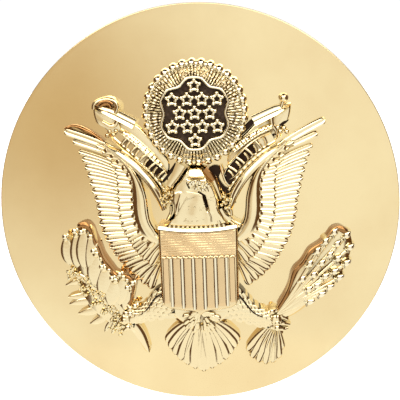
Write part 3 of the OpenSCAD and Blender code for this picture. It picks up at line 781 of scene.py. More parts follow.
def leg(side):
    m = Mesh()
    if side > 0:
        upper = [(3.1, -7.6), (3.8, -8.15), (4.5, -9.1), (5.1, -9.85), (5.75, -10.25), (6.6, -10.5)]
        lower = [(7.0, -12.0), (6.0, -11.95), (4.9, -11.65), (3.4, -11.25), (2.0, -10.9), (1.2, -10.6)]
        knuckle = (6.9, -11.2)
    else:
        upper = [(-3.1, -7.5), (-4.3, -8.15), (-4.9, -8.85), (-5.3, -9.4), (-6.0, -9.95), (-6.7, -10.1)]
        lower = [(-7.2, -11.6), (-6.5, -11.35), (-5.2, -11.05), (-3.8, -10.95), (-2.4, -10.75),
            (-1.4, -10.5)]
        knuckle = (-7.1, -10.9)
    outline = np.vstack([even(upper, 30), even(lower, 30)])
    mound(m, outline, [(0.10, 0.3), (0.28, 0.65), (0.50, 0.95), (0.72, 1.10)])
    name = SIDE_NAME[side]
    # Near-black lines along the leg: painted shadow lines.
    lines = Mesh()
    for inset, rise in ((-0.02, 0.92), (0.50, 1.34)):
        path = even(upper, 30)[:-4] + np.array([0.25 * -side, -1.0]) * inset
        bar(lines, path, 0.07, lambda u, v: rise + 0.06 * arch(v), nv=6)
    lines.make("leg_contour_" + name, ["leg_" + name], recess_shadow, slot="dark_field")
    a, b = even(upper, 12), even(lower[::-1], 12)
    for i in range(11, 1, -1):
        for j in range(5):
            t = (j + 0.5 * (i % 2) + 0.35) / 5.3
            p = a[i] * (1 - t) + b[i] * t
            q = a[min(12, i + 1)] * (1 - t) + b[min(12, i + 1)] * t
            d = (q - p) / np.linalg.norm(q - p) * 0.36
            rise = 0.95 + 0.42 * math.sin(math.pi * min(1, max(0, t)))
            feather(m, p - d, p + d, 0.27, rise - 0.03, rise, crown=0.05, nu=8, nv=8, plain=True, drop=0.04)
    k = np.array(knuckle)
    if side > 0:
        toes = [[(6.3, -10.9), (6.75, -10.35), (7.3, -10.4), (7.6, -10.7)],
            [(6.4, -11.3), (7.0, -10.95), (7.7, -11.0), (8.2, -11.3)],
            [(6.5, -11.6), (7.2, -11.5), (7.9, -11.65), (8.4, -11.8)],
            [(6.6, -11.8), (7.2, -12.0), (7.8, -12.2), (8.2, -12.1)]]
    else:
        toes = [[(-6.5, -10.5), (-6.8, -9.8), (-7.2, -9.5), (-7.4, -9.2)],
            [(-6.6, -10.7), (-7.2, -10.3), (-7.8, -10.4), (-8.2, -10.6)],
            [(-6.7, -11.0), (-7.4, -11.0), (-8.0, -11.3), (-8.3, -11.6)],
            [(-6.7, -11.3), (-7.1, -11.7), (-7.5, -12.0), (-7.9, -12.0)]]
    for t in toes:
        claw(m, t, 0.34, 0.10, 1.12)
    for t in toes:
        ball(m, t[1][0], t[1][1], 1.26, 0.28, tall=0.6, n=14)
    ball(m, k[0] + 0.2 * side, k[1], 1.12, 0.55, tall=0.5, n=18)
    m.make("leg_and_claw_" + name, ["leg_" + name], relief_gold)


leg(-1)
leg(1)


# ---------------------------------------------------------------- branch
def build_branch():
    m = Mesh()
    stem = even([(-7.3, -10.6), (-8.3, -9.2), (-9.6, -7.2), (-10.6, -5.0), (-11.3, -3.0)], 40)
    bar(m, stem, np.linspace(0.4, 0.15, 41), lambda u, v: 0.90 + 0.18 * arch(v), nv=10)
    spike = [(-7.0, -11.2), (-6.3, -11.9), (-5.75, -12.9), (-5.2, -14.3)]
    bar(m, even(spike, 30), along(31, [0, .5, .9, 1], [0.5, 0.46, 0.3, 0.08]),
        lambda u, v: 0.95 - 0.45 * u + 0.22 * (1 - np.abs(v) ** 2), nv=12)
    m.make("branch_stem", ["olive_stem"], relief_gold)

    m = Mesh()
    edge = [(-6.9, -9.2), (-6.4, -8.6), (-6.2, -7.75), (-6.6, -7.05), (-7.5, -6.45), (-8.3, -6.15),
        (-8.9, -5.3), (-9.3, -4.5), (-9.65, -3.6), (-9.85, -2.7), (-10.1, -1.95), (-10.8, -1.6),
        (-11.4, -2.1), (-12.1, -2.7), (-12.4, -4.0), (-12.2, -5.4), (-11.9, -6.8), (-11.6, -8.2),
        (-11.2, -9.3), (-10.5, -10.3), (-9.5, -11.1), (-8.7, -11.8), (-7.9, -12.3), (-7.2, -12.2),
        (-6.8, -11.2), (-6.9, -9.2)]
    mound(m, even(edge, 160)[:-1], [(0.06, 0.25), (0.16, 0.60), (0.28, 0.86), (0.45, 0.95)])
    m.make("branch_bed", ["olive_leaves"], relief_gold)
    # The leaves' outer wall in the shaded gold: painted shade.
    m = Mesh()
    wall = even([(-11.5, -1.8), (-10.9, -1.7), (-10.35, -2.2), (-10.0, -3.3), (-9.35, -4.8), (-8.45, -6.25),
        (-7.9, -6.6), (-7.2, -6.65), (-6.5, -7.4), (-6.6, -8.6), (-6.9, -9.4)], 60)
    bar(m, wall, 0.21 + 0.05 * np.sin(np.linspace(0, 26, 61)),
        lambda u, v: 0.98 + 0.12 * arch(v) + 0.04 * np.sin(31 * u), nv=8)
    m.make("branch_wall", ["olive_leaves"], shaded_gold)
    m = Mesh()
    leaves = [((-12.45, -5.6), (-12.75, -2.75), .62, 0.80), ((-11.8, -5.8), (-11.75, -2.35), .68, 0.98),
        ((-11.1, -5.9), (-10.95, -1.95), .68, 1.05), ((-10.4, -6.3), (-10.35, -2.5), .66, 1.08),
        ((-10.1, -7.6), (-9.85, -4.2), .74, 1.08), ((-9.35, -8.8), (-9.15, -5.6), .76, 1.10),
        ((-8.6, -9.6), (-8.1, -6.8), .74, 1.10), ((-7.9, -9.5), (-7.35, -6.5), .66, 1.04),
        ((-7.3, -10.0), (-6.7, -7.5), .55, 1.0), ((-10.4, -7.5), (-12.5, -6.2), .30, 0.95),
        ((-10.2, -8.5), (-12.8, -8.75), .34, 0.8), ((-10.0, -9.1), (-12.7, -9.45), .32, 0.85),
        ((-9.5, -9.8), (-11.9, -10.4), .36, 0.8), ((-10.6, -7.0), (-13.0, -7.6), .28, 0.8),
        ((-8.9, -10.5), (-10.8, -11.4), .34, 0.8), ((-8.2, -11.0), (-9.4, -12.2), .34, 0.75)]
    for _, tip, half, h in leaves[:9]:
        ball(m, tip[0], tip[1] - 0.28, h + 0.05, 0.46 * half, tall=0.55, n=18)
    for x, z in ((-9.75, -3.6), (-9.3, -5.0), (-8.6, -6.1), (-7.8, -6.7), (-6.9, -7.1), (-6.5, -8.1),
            (-6.7, -10.2)):
        ball(m, x - 0.1, z, 0.98, 0.26, tall=0.6, n=18)
    # The buds are in the lighter gold: painted highlight.
    bumps = Mesh()
    for x, z in ((-12.78, -2.75), (-11.85, -2.2), (-11.2, -2.3), (-10.1, -4.15), (-9.35, -5.7),
            (-8.4, -6.8), (-7.65, -6.4), (-6.45, -7.3), (-6.95, -7.75), (-6.3, -9.55), (-6.8, -10.3)):
        ball(bumps, x, z, 1.24, 0.27, tall=0.7, n=16)
        ball(bumps, x + 0.25, z + 0.12, 1.14, 0.16, tall=0.7, n=12)
    bumps.make("branch_buds", ["olive_leaves"], highlight_gold)
    for _ in range(95):
        u, w = rng.uniform(0, 1, 2)
        c = np.array([-12.75 + 4.9 * u, -5.9 - 5.6 * u]) + np.array([0.75, 0.65]) * (2 * w - 0.8) * (0.55
            + 0.3 * np.sin(np.pi * u))
        ball(m, c[0], c[1], 1.02 + rng.uniform(-0.1, 0.16), rng.uniform(0.11, 0.20), tall=0.9, n=10)
    for _ in range(22):
        a = rng.uniform(0, 2 * np.pi)
        c = np.array([-8.0, -11.75]) + rng.uniform(0, 1) * np.array([1.0 * np.cos(a), 0.75 * np.sin(a)])
        ball(m, c[0], c[1], 0.95 + rng.uniform(-0.08, 0.1), rng.uniform(0.14, 0.24), tall=0.9, n=10)
    for k, (root, tip, half, h) in enumerate(leaves):
        leaf(m, root, tip, half, h, crown=0.06, bend=0.08 * (-1) ** k, nu=24, nv=14, veins=0.004)
    m.make("branch_leaves", ["olive_leaves"], relief_gold)


build_branch()


# ---------------------------------------------------------------- arrows
GRIP = np.array([7.15, -10.75])
HEADS = [(12.95, -2.75), (14.1, -3.1), (14.4, -4.3), (12.1, -3.6), (13.2, -3.9), (11.3, -4.5),
    (14.05, -5.8), (12.5, -4.9), (13.25, -5.3), (10.55, -5.7), (11.7, -5.7), (12.9, -6.6), (13.35, -7.2),
    (10.9, -6.8), (12.0, -7.0), (9.8, -7.2), (12.4, -8.1), (11.2, -7.9), (11.6, -8.8), (10.4, -8.2),
    (10.5, -9.5)]


def build_arrows():
    edge = [(6.9, -10.4), (7.7, -9.3), (8.3, -7.9), (8.9, -6.4), (9.7, -5.6), (10.4, -4.5), (11.4, -3.95),
        (12.1, -3.3), (12.7, -2.6), (13.3, -2.5), (14.1, -2.95), (14.45, -3.9), (14.3, -5.0), (13.9, -6.1),
        (13.2, -7.4), (12.4, -8.3), (11.5, -9.0), (10.4, -9.8), (9.2, -10.7), (8.2, -11.2), (7.3, -11.3),
        (6.9, -10.4)]
    m = Mesh()
    mound(m, even(edge, 150)[:-1], [(0.06, 0.25), (0.16, 0.60), (0.28, 0.86), (0.45, 0.95)])
    m.make("arrow_bed", ["arrow_shafts"], relief_gold)
    # The arrows' outer wall in the shaded gold: painted shade.
    m = Mesh()
    wall = even([(7.4, -10.1), (7.95, -9.3), (8.5, -8.0), (9.05, -6.6), (9.75, -5.8), (10.5, -4.75),
        (11.4, -4.15), (12.1, -3.5), (12.75, -2.75), (13.4, -2.6), (14.0, -2.95)], 60)
    bar(m, wall, 0.19 + 0.05 * np.sin(np.linspace(0, 22, 61)),
        lambda u, v: 0.94 + 0.12 * arch(v) + 0.04 * np.sin(27 * u), nv=8)
    m.make("arrow_wall", ["arrow_shafts"], shaded_gold)
    m = Mesh()
    for k, tip in enumerate(HEADS):
        d = np.array(tip) - GRIP
        path = GRIP + np.linspace(0.03, 0.93, 26)[:, None] * d
        side = np.array([-d[1], d[0]]) / np.linalg.norm(d)
        path = path + side * (0.06 * np.sin(np.linspace(0, np.pi, 26)))[:, None] * (-1) ** k
        bar(m, path, 0.16, lambda u, v: 0.98 + 0.11 * arch(v) + 0.08 * np.sin(np.pi * u), nv=8)
    m.make("arrow_bundle_shafts", ["arrow_shafts"], relief_gold)

    # The arrow points are in the lighter gold: painted highlight.
    m = Mesh()
    for k, tip in enumerate(HEADS):
        tip = np.array(tip)
        d = (tip - GRIP) / np.linalg.norm(tip - GRIP)
        s = np.array([-d[1], d[0]])
        h = 1.12 + 0.08 * rng.uniform(-1, 1)
        t = turn(20)
        mid = tip - d * 0.05
        loop = mid + np.cos(t)[:, None] * d * 0.43 + (np.sin(t) * (1 - 0.35 * np.cos(t)))[:,
            None] * s * 0.29
        patch(m, loop, mid, lambda x, z, r: h + 0.24 * arch(0.97 * r), rings=6, power=0.8)
        barb = mid - d * 0.42
        bar(m, even([barb + s * 0.26 - d * 0.16, barb, barb - s * 0.26 - d * 0.16], 10), 0.085,
            lambda u, v: h + 0.04 + 0.10 * arch(v), nv=6)
    m.make("arrow_points", ["arrow_heads"], highlight_gold, angle=25)

    m = Mesh()
    edge = [(6.2, -11.6), (5.6, -12.3), (4.95, -13.0), (4.5, -13.8), (4.35, -14.7), (4.9, -15.1),
        (5.6, -15.35), (6.4, -15.35), (6.95, -15.1), (7.25, -14.2), (7.6, -13.1), (7.6, -12.2),
        (6.2, -11.6)]
    mound(m, even(edge, 70)[:-1], [(0.06, 0.2), (0.20, 0.45), (0.45, 0.62)])
    grip = np.array([7.15, -11.3])
    for tip, half in [((4.2, -14.35), .46), ((4.6, -15.1), .46), ((5.2, -15.55), .46), ((5.9, -15.75), .46),
            ((6.6, -15.65), .44), ((7.2, -15.2), .42), ((7.6, -14.3), .36)]:
        feather(m, grip, np.array(tip), half, 1.10, 0.50, crown=0.15, taper=0.35, nu=30, nv=18, barb=0.012,
            drop=0.08, bend=-0.1)
    m.make("arrow_vanes", ["arrow_feathers"], relief_gold)


build_arrows()


# ---------------------------------------------------------------- scrolls
def build_scroll(side):
    m = Mesh()
    name = SIDE_NAME[side]
    if side > 0:
        low = [(2.85, 2.75), (3.75, 3.8), (4.8, 4.85), (6.0, 5.75), (7.3, 6.4)]
        ret = [(5.5, 8.0), (6.6, 8.5), (7.8, 9.0), (9.05, 9.45)]
        widths = [0.50, 0.42, 0.08]
        panel = [(6.9, 6.5), (8.0, 6.3), (8.15, 7.3), (8.8, 8.0), (9.0, 9.3), (8.3, 9.0), (7.2, 8.5),
            (7.0, 7.5)]
        ridge_line = [(3.5, 5.2), (4.6, 6.1), (5.9, 6.9), (7.3, 7.5)]
    else:
        low = [(-3.0, 2.85), (-4.0, 3.75), (-5.1, 4.85), (-6.3, 6.0), (-7.5, 7.0)]
        ret = [(-5.75, 7.95), (-6.8, 8.5), (-8.0, 9.1), (-9.5, 9.65)]
        widths = [0.45, 0.42, 0.16]
        panel = [(-6.9, 6.9), (-8.0, 7.0), (-8.7, 7.5), (-9.5, 8.1), (-9.7, 9.4), (-8.8, 9.3), (-7.5, 8.7),
            (-7.1, 7.7)]
        ridge_line = [(-3.2, 3.9), (-4.3, 5.0), (-5.5, 6.1), (-6.9, 7.2)]
    path = even(low, 90)
    half = along(91, [0, .1, .85, 1], [0.42, 0.66, 0.74, 0.66])

    def face(u, v):
        s = v * side
        ridge = 0.16 * np.exp(-((s - 0.80) / 0.18) ** 2) + 0.10 * np.exp(-((s + 0.80) / 0.16) ** 2)
        inside = smooth(0.70, 0.55, s) * smooth(-0.85, -0.70, s)
        return 1.00 + ridge - 0.10 * inside + 0.15 * np.sin(np.pi * u)

    bar(m, path, half, face, nv=26)
    # A near-black strip under the ribbon: painted shadow.
    ground = Mesh()
    last = 62 if side > 0 else 34
    bar(ground, path[3:last], 0.44, lambda u, v: 0.94 + 0.15 * np.sin(np.pi * (3 + u * (last - 4)) / 90)
        + 0.02 * (1 - v ** 2), nv=8)
    ground.make("scroll_ground_" + name, ["scroll_" + name], recess_shadow, slot="dark_field")
    # a plain moulded ornament along the band
    across = left_of(path)
    for i in range(9):
        k = int(8 + 8.6 * i)
        lean = 0.16 * (-1) ** i
        end = path[k] + across[k] * 0.42 * side + np.array([lean, 0])
        start = path[k] - across[k] * 0.42 * side
        strip(m, (start, (start + end) / 2 + np.array([0.06 * side, 0]), end), 0.14,
            1.03 + 0.15 * np.sin(np.pi * k / 90), 0.2, n=10)
    bar(m, even(ret, 40), along(41, [0, .6, 1], widths), lambda u, v: 1.25
        - 0.17 * v * side + 0.05 * np.exp(-((v * side - 0.75) / 0.15) ** 2)
        - 0.07 * np.exp(-((v * side + 0.1) / 0.07) ** 2), nv=22)
    if side > 0:
        backing = [(3.0, 3.2), (4.5, 4.1), (6.0, 5.2), (7.4, 5.9), (8.1, 6.8), (7.4, 7.9), (6.2, 8.1),
            (4.8, 6.9), (3.6, 5.7), (2.9, 4.6), (3.0, 3.2)]
    else:
        backing = [(-2.8, 2.4), (-4.4, 3.4), (-6.0, 4.7), (-7.5, 6.0), (-8.3, 7.0), (-7.4, 8.1),
            (-5.8, 7.9), (-4.6, 6.8), (-3.5, 5.4), (-2.6, 4.2), (-2.8, 2.4)]
    mound(m, even(backing, 90)[:-1], [(0.04, 0.22), (0.12, 0.36), (0.3, 0.42)])
    rib = even([(3.0, 1.5), (3.6, 2.4), (4.5, 3.5), (5.7, 4.6), (7.0, 5.5)], 40) * np.array([side, 1.0])
    bar(m, rib, 0.17, lambda u, v: 0.95 + 0.25 * arch(v) + 0.03 * np.sin(60 * u), nv=8)
    bar(m, even(ridge_line, 40), along(41, [0, .2, .9, 1], [0.16, 0.27, 0.27, 0.2]),
        lambda u, v: 1.20 - 0.10 * v * side + 0.08 * arch(v) + 0.035 * np.sin(70 * u)
        - 0.07 * np.exp(-((v * side + 0.2) / 0.12) ** 2), nv=20)
    for spot in ((0.0, 0.0), (0.35, 0.30), (-0.25, 0.35), (0.6, -0.05)):
        x, z = np.array([(8.0 if side > 0 else -7.8), 6.9]) + np.array(spot) * np.array([side, 1.0])
        ball(m, x, z, 0.75, 0.24, tall=0.8, n=14)
    if side > 0:
        strip(m, ((2.3, 3.9), (2.5, 3.0), (2.8, 2.2), (3.6, 1.45)), 0.14, 0.80, 0.12)
    else:
        bar(m, even([(-1.45, 4.0), (-2.0, 3.0), (-2.7, 2.0)], 30), np.linspace(0.48, 0.30, 31),
            lambda u, v: 0.85 + 0.04 * (1 - v ** 2), nv=10)
        strip(m, ((-1.0, 3.75), (-1.6, 2.9), (-2.4, 1.95)), 0.08, 1.05, 0.08)
    loop = even(panel + [panel[0]], 60)[:-1]
    mound(m, loop, [(0.03, 0.5), (0.10, 0.74), (0.22, 0.78)])
    if side > 0:
        ball(m, 8.42, 10.12, 1.25, 0.42, n=24)
        strip(m, ((8.15, 9.25), (8.25, 9.5), (8.35, 9.8)), 0.2, 1.15, 0.2, n=8)
        fold = even([(7.15, 8.4), (7.25, 7.6), (7.6, 7.0), (7.7, 6.4)], 24)
    else:
        roll = even([(-9.6, 9.4), (-9.5, 9.9), (-8.9, 10.25), (-8.2, 10.35), (-7.6, 10.15), (-7.3, 9.65),
            (-7.5, 9.05)], 48)
        bar(m, roll, 0.2, lambda u, v: 1.2 + 0.3 * arch(v), nv=12)
        inner = even([(-9.0, 9.65), (-8.6, 9.9), (-8.2, 9.85), (-8.0, 9.5)], 20)
        # The inner curl in the shaded gold: painted shade.
        curl = Mesh()
        bar(curl, inner, 0.20, lambda u, v: 1.05 + 0.25 * arch(v), nv=8)
        bar(curl, even([(-9.3, 9.75), (-8.8, 10.1), (-8.2, 10.15), (-7.75, 9.9)], 20), 0.10,
            lambda u, v: 1.50 + 0.04 * (1 - v ** 2), nv=6)
        curl.make("scroll_curl", ["scroll_left"], shaded_gold)
        fold = even([(-7.3, 8.4), (-7.6, 7.9), (-8.1, 7.8), (-8.8, 8.2)], 24)
    bar(m, fold, np.linspace(0.26, 0.12, 25), lambda u, v: 0.95 + 0.25 * arch(v), nv=10)
    # Near-black mounds in the hollows: painted shadow.
    hollows = Mesh()
    if side > 0:
        pockets = [([(1.1, 3.6), (1.65, 3.85), (2.2, 3.7), (2.25, 3.1), (2.1, 2.6), (2.6, 1.8),
            (3.25, 1.45), (3.0, 1.1), (2.4, 1.3), (1.8, 2.4), (1.25, 3.1)], 0.45),
            ([(3.2, 3.75), (2.85, 3.3), (2.75, 2.6), (3.1, 2.05), (3.5, 2.3), (3.85, 3.0), (3.7, 3.55)],
            1.08), ([(3.3, 5.6), (4.2, 6.4), (5.2, 7.3), (5.6, 7.8), (5.3, 8.1), (4.6, 7.5), (3.7, 6.6),
            (3.1, 5.9)], 0.62), ([(7.85, 7.5), (8.3, 7.85), (8.8, 7.9), (8.5, 7.6), (8.1, 7.35)], 0.86),
            ([(7.0, 6.5), (7.3, 6.72), (7.65, 6.7), (7.35, 6.45)], 0.86)]
    else:
        pockets = [([(-1.25, 3.2), (-1.8, 2.5), (-2.35, 1.75), (-2.25, 1.65), (-1.65, 2.35), (-1.1, 3.1)],
            0.9), ([(-2.1, 4.1), (-2.7, 3.3), (-3.3, 2.5), (-3.1, 2.3), (-2.5, 3.0), (-1.9, 3.8)], 0.72)]
    for shape, rise in pockets:
        mound(hollows, even(shape + shape[:1], 60)[:-1], [(0.03, rise - 0.05), (0.07, rise)])
    hollows.make("scroll_hollows_" + name, ["scroll_" + name], recess_shadow, slot="dark_field")
    m.make("scroll_ribbon_" + name, ["scroll_" + name], relief_gold)


build_scroll(-1)
build_scroll(1)


# ---------------------------------------------------------------- ring of stars
RING = np.array([0.0, 8.9])
STAR_ROWS = [1, 4, 3, 4, 1]
RAYS = 84
BEADS = 32


def field_r(a):
    """Radius of the six-lobed field at angle a, in degrees: lobes at the top and every sixty degrees."""
    lobe = np.cos(np.radians(6 * (a - 90)))
    return 3.18 + 0.24 * np.sign(lobe) * np.abs(lobe) ** 0.8 - 0.06 * np.cos(np.radians(12 * a))


def build_ring():
    # The rays, beads, field border and stars are in the lighter gold: painted highlight.
    n = 768
    a = np.arange(n) * 360 / n
    circle = compass(a)
    inner = field_r(a)
    m = Mesh()
    steps = np.linspace(0, 1, 28)
    rings = []
    which = (a * RAYS / 360).astype(int) % RAYS
    ray = np.abs(np.sin(np.radians(a * (RAYS / 2)))) ** 0.7 * rng.uniform(0.75, 1.15, RAYS)[which]
    phase = rng.uniform(0, 6.3, RAYS)[which]
    for t in steps:
        r = inner + 0.10 + (4.42 - inner - 0.10) * t
        window = float(smooth(0.0, 0.08, np.array(t)) * smooth(1.0, 0.95, np.array(t)))
        body = 1.48 - 0.34 * t ** 1.2 - 0.10 * math.exp(-(t / 0.07) ** 2)
        rings.append(np.column_stack([RING + circle * r[:, None],
            body + window * ((0.27 + 0.05 * np.sin(13 * t + phase)) * ray - 0.18)]))
    low_out = rings[-1].copy()
    low_out[:, 2] = SEAT
    low_in = rings[0].copy()
    low_in[:, 2] = SEAT
    loft(m, np.stack([low_in] + rings + [low_out]), closed=True)
    m.make("ring_of_rays", ["ring_rays"], highlight_gold)

    m = Mesh()
    n = 192
    a = np.arange(n) * 360 / n
    loop = RING + compass(a) * 4.55
    bar(m, loop, 0.26, lambda u, v: 0.88 + 0.10 * (1 - v ** 2), nv=8, closed=True)
    for k in range(BEADS):
        c = RING + polar(4.68, 360 * k / BEADS + 3)
        d = polar(1.0, 360 * k / BEADS + 3)
        s = np.array([-d[1], d[0]])
        t = turn(18)
        loop = c + np.cos(t)[:, None] * d * 0.37 + np.sin(t)[:, None] * s * 0.40
        patch(m, loop, c - d * 0.06, lambda x, z, r: 0.86 + 0.38 * arch(0.98 * r), rings=6, power=0.7)
    m.make("ring_of_beads", ["ring_beads"], highlight_gold, angle=60)

    m = Mesh()
    n = 240
    a = np.arange(n) * 360 / n
    loop = RING + compass(a) * (field_r(a) + 0.02)[:, None]
    patch(m, loop, RING, lambda x, z, r: 0.62 + 0.02 * np.sin(x * 9) * np.sin(z * 9), rings=30)
    m.make("star_ground", ["star_field"], field_bronze, slot="dark_field")

    m = Mesh()
    loop = RING + compass(a) * (field_r(a) + 0.04)[:, None]
    bar(m, loop, 0.14, lambda u, v: 1.50 + 0.16 * arch(v), nv=8, closed=True)
    m.make("star_ground_border", ["field_border"], highlight_gold, angle=60)

    m = Mesh()
    for row, count in enumerate(STAR_ROWS):
        for k in range(count):
            c = RING + np.array([(k - (count - 1) / 2) * 1.42, (2 - row) * 1.29])
            t = np.radians(90 + 36 * np.arange(10))
            r = np.where(np.arange(10) % 2 == 0, 0.54, 0.33)
            star = c + np.column_stack([r * np.cos(t), r * np.sin(t)])
            loop = np.vstack([np.linspace(star[i], star[(i + 1) % 10], 5)[:-1] for i in range(10)])
            bar(m, loop, 0.145, lambda u, v: 1.30 + 0.11 * arch(v), base=0.4, nv=8, closed=True)
            for i in range(0, 10, 2):
                ball(m, star[i, 0], star[i, 1], 1.32, 0.205, n=14)
    m.make("raised_stars", ["stars"], highlight_gold, angle=60)


build_ring()


# ---------------------------------------------------------------- fixings behind the disc, in mm
CAP_T = 3.0
POST_LO, POST_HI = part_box("screw_post")
REACH = POST_HI.y * 1000
THREAD_R = 4.166 / 2
PITCH = 25.4 / 32
SHANK_R = 2.4
THREAD_DEPTH = 0.42
PRONG_X = 11.0


def thread_r(a, y, slack=0.0):
    """Radius of the right-hand thread at angle a and depth y."""
    phase = (y / PITCH - a / (2 * np.pi)) % 1.0
    tooth = np.clip(np.abs(phase - 0.5) * 2.5 - 0.22, 0, 1)
    return THREAD_R - THREAD_DEPTH * (1 - tooth) + slack


def build_post():
    m = Mesh(flat=True)
    n = 96
    a = turn(n)
    flange_r, flange_y = 3.6, -0.9
    rings = []
    plain = [(0.4, -hollow(0.4) - 0.02), (flange_r - 0.05, -hollow(flange_r) - 0.02),
        (flange_r, -hollow(flange_r) + 0.05), (flange_r, flange_y - 0.12), (flange_r - 0.12, flange_y),
        (SHANK_R + 0.15, flange_y), (SHANK_R + 0.04, flange_y + 0.05), (SHANK_R, flange_y + 0.15),
        (SHANK_R, 0.0), (SHANK_R, 1.5), (SHANK_R, CAP_T - 0.14), (SHANK_R - 0.12, CAP_T),
        (THREAD_R - 0.30, CAP_T + 0.01)]
    for r, y in plain:
        rings.append(turned(r, y, a))
    y0, y1 = CAP_T + 0.05, REACH - 0.02
    for y in np.arange(y0, y1, PITCH / 16):
        run_in = float(smooth(y0, y0 + PITCH, np.array(y)))
        r = thread_r(a, y)
        r = (THREAD_R - THREAD_DEPTH) + (r - THREAD_R + THREAD_DEPTH) * run_in
        chamfer = THREAD_R - THREAD_DEPTH * max(0.0, (y - (REACH - 0.55)) / 0.55) * 1.3
        r = np.minimum(r, chamfer)
        rings.append(turned(r, y, a))
    for r, y in ((1.45, y1), (1.2, y1 + 0.02), (0.3, y1 + 0.015)):
        rings.append(turned(r, y, a))
    loft(m, np.stack(rings))
    m.make("threaded_post", ["screw_post"], post_brass, angle=28, slot="post_brass")

    m = Mesh(flat=True)
    n = 120
    a = turn(n)
    swell = 1 + 0.10 * np.sin(3 * a + 1) + 0.05 * np.sin(7 * a) + 0.03 * np.sin(13 * a + 2)
    rings = []
    for t in np.linspace(0, 1, 10):
        r = flange_r - 0.02 + 0.78 * swell * t
        top = -0.98 - 0.55 * t ** 0.6
        limit = np.array([-hollow(q) for q in r])
        rings.append(turned(r, np.maximum(limit, top), a))
    for r0 in (flange_r + 0.3, flange_r - 0.02):
        rings.append(turned(r0, -hollow(r0) - 0.03, a))
    loft(m, np.stack(rings), closed=True)
    m.make("solder_bead", ["post_solder"], solder_grey, angle=60, slot="solder")


def build_rivets():
    m = Mesh(flat=True)
    for x, z in ((0.0, 8.9), (-6.8, -0.6), (6.8, -0.6)):
        back = hollow(math.hypot(x, z))
        profile = [(0.03, -(back + 0.5)), (0.6, -(back + 0.5)), (0.6, -(back + 0.02)),
            (1.15, -(back + 0.02)), (1.15, -(back - 0.25))]
        profile += [(1.15 * math.cos(t), -(back - 0.25 - 0.55 * math.sin(t))) for t in np.linspace(0.15,
            1.15, 7)]
        profile += [(0.42, -(back - 0.78)), (0.35, -(back - 0.90)), (0.2, -(back - 0.93)),
            (0.03, -(back - 0.93))]
        a = turn(40)
        rings = [turned(r, y, a, x, z) for r, y in profile]
        loft(m, np.stack(rings))
    m.make("emblem_rivet_heads", ["emblem_rivets"], post_brass, slot="post_brass")

    m = Mesh(flat=True)
    foot = hollow(PRONG_X)
    profile = [(0.1, -foot - 0.03, 1), (1.3, -foot - 0.03, 1), (1.15, -foot + 0.12, 1),
        (0.85, -foot + 0.35, 0.6), (0.65, -foot + 0.62, 0.3), (0.55, -foot + 0.95, 0), (0.55, 0.6, 0),
        (0.55, 1.6, 0), (0.55, CAP_T - 0.45, 0), (0.5, CAP_T - 0.2, 0), (0.12, CAP_T + 0.34, 0),
        (0.04, CAP_T + 0.38, 0)]
    for x in (-PRONG_X, PRONG_X):
        a = turn(36)
        rings = []
        for r, y, lean in profile:
            px = x + r * np.sin(a)
            pz = r * np.cos(a)
            tilt = np.array([-hollow(math.hypot(p, q)) + foot for p, q in zip(px, pz)]) * lean
            rings.append(np.column_stack([px, y + tilt, pz]))
        loft(m, np.stack(rings))
    m.make("cap_prongs", ["locating_prongs"], post_brass, slot="post_brass")


PLATE_T = 0.8
PLATE_LO, PLATE_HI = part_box("anchor_plate")
PLATE_R = (PLATE_HI.x - PLATE_LO.x) * 500
PLATE_BACK = PLATE_HI.y * 1000
NUT_LO, NUT_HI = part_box("thumb_nut")
NUT_R = (NUT_HI.x - NUT_LO.x) * 500
NUT_Y0, NUT_Y1 = NUT_LO.y * 1000, NUT_HI.y * 1000


def build_plate():
    m = Mesh(flat=True)
    y0, y1 = PLATE_BACK - PLATE_T, PLATE_BACK
    r = PLATE_R
    profile = [(2.2, y0 + 0.06), (2.26, y0), (3.2, y0), (3.6, y0 + 0.05), (r - 1.9, y0 + 0.05),
        (r - 1.6, y0), (r - 0.12, y0)]
    profile += [(r - 0.12 + 0.12 * math.sin(t), y0 + 0.12 - 0.12 * math.cos(t)) for t in np.linspace(0.2,
        math.pi / 2, 5)]
    profile += [(r - 0.12 + 0.12 * math.cos(t), y1 - 0.12 + 0.12 * math.sin(t)) for t in np.linspace(0,
        math.pi / 2, 5)]
    profile += [(r - 0.9, y1), (r - 1.1, y1 - 0.10), (r - 1.5, y1 - 0.10), (r - 1.7, y1), (2.26, y1),
        (2.2, y1 - 0.06)]
    lathe(m, profile, n=144)
    for a in (90, 210, 330):
        d = polar(r - 1.4, a)
        t = turn(28)
        rings = []
        for q, y in ((0.62, y0 + 0.1), (0.56, y0 - 0.02), (0.42, y0 - 0.22), (0.28, y0 - 0.5),
                (0.14, y0 - 0.74), (0.04, y0 - 0.79)):
            rings.append(turned(q, y, t, *d))
        loft(m, np.stack(rings))
    m.make("anchor_washer", ["anchor_plate"], plate_brass, body="anchor", slot="plate_brass")


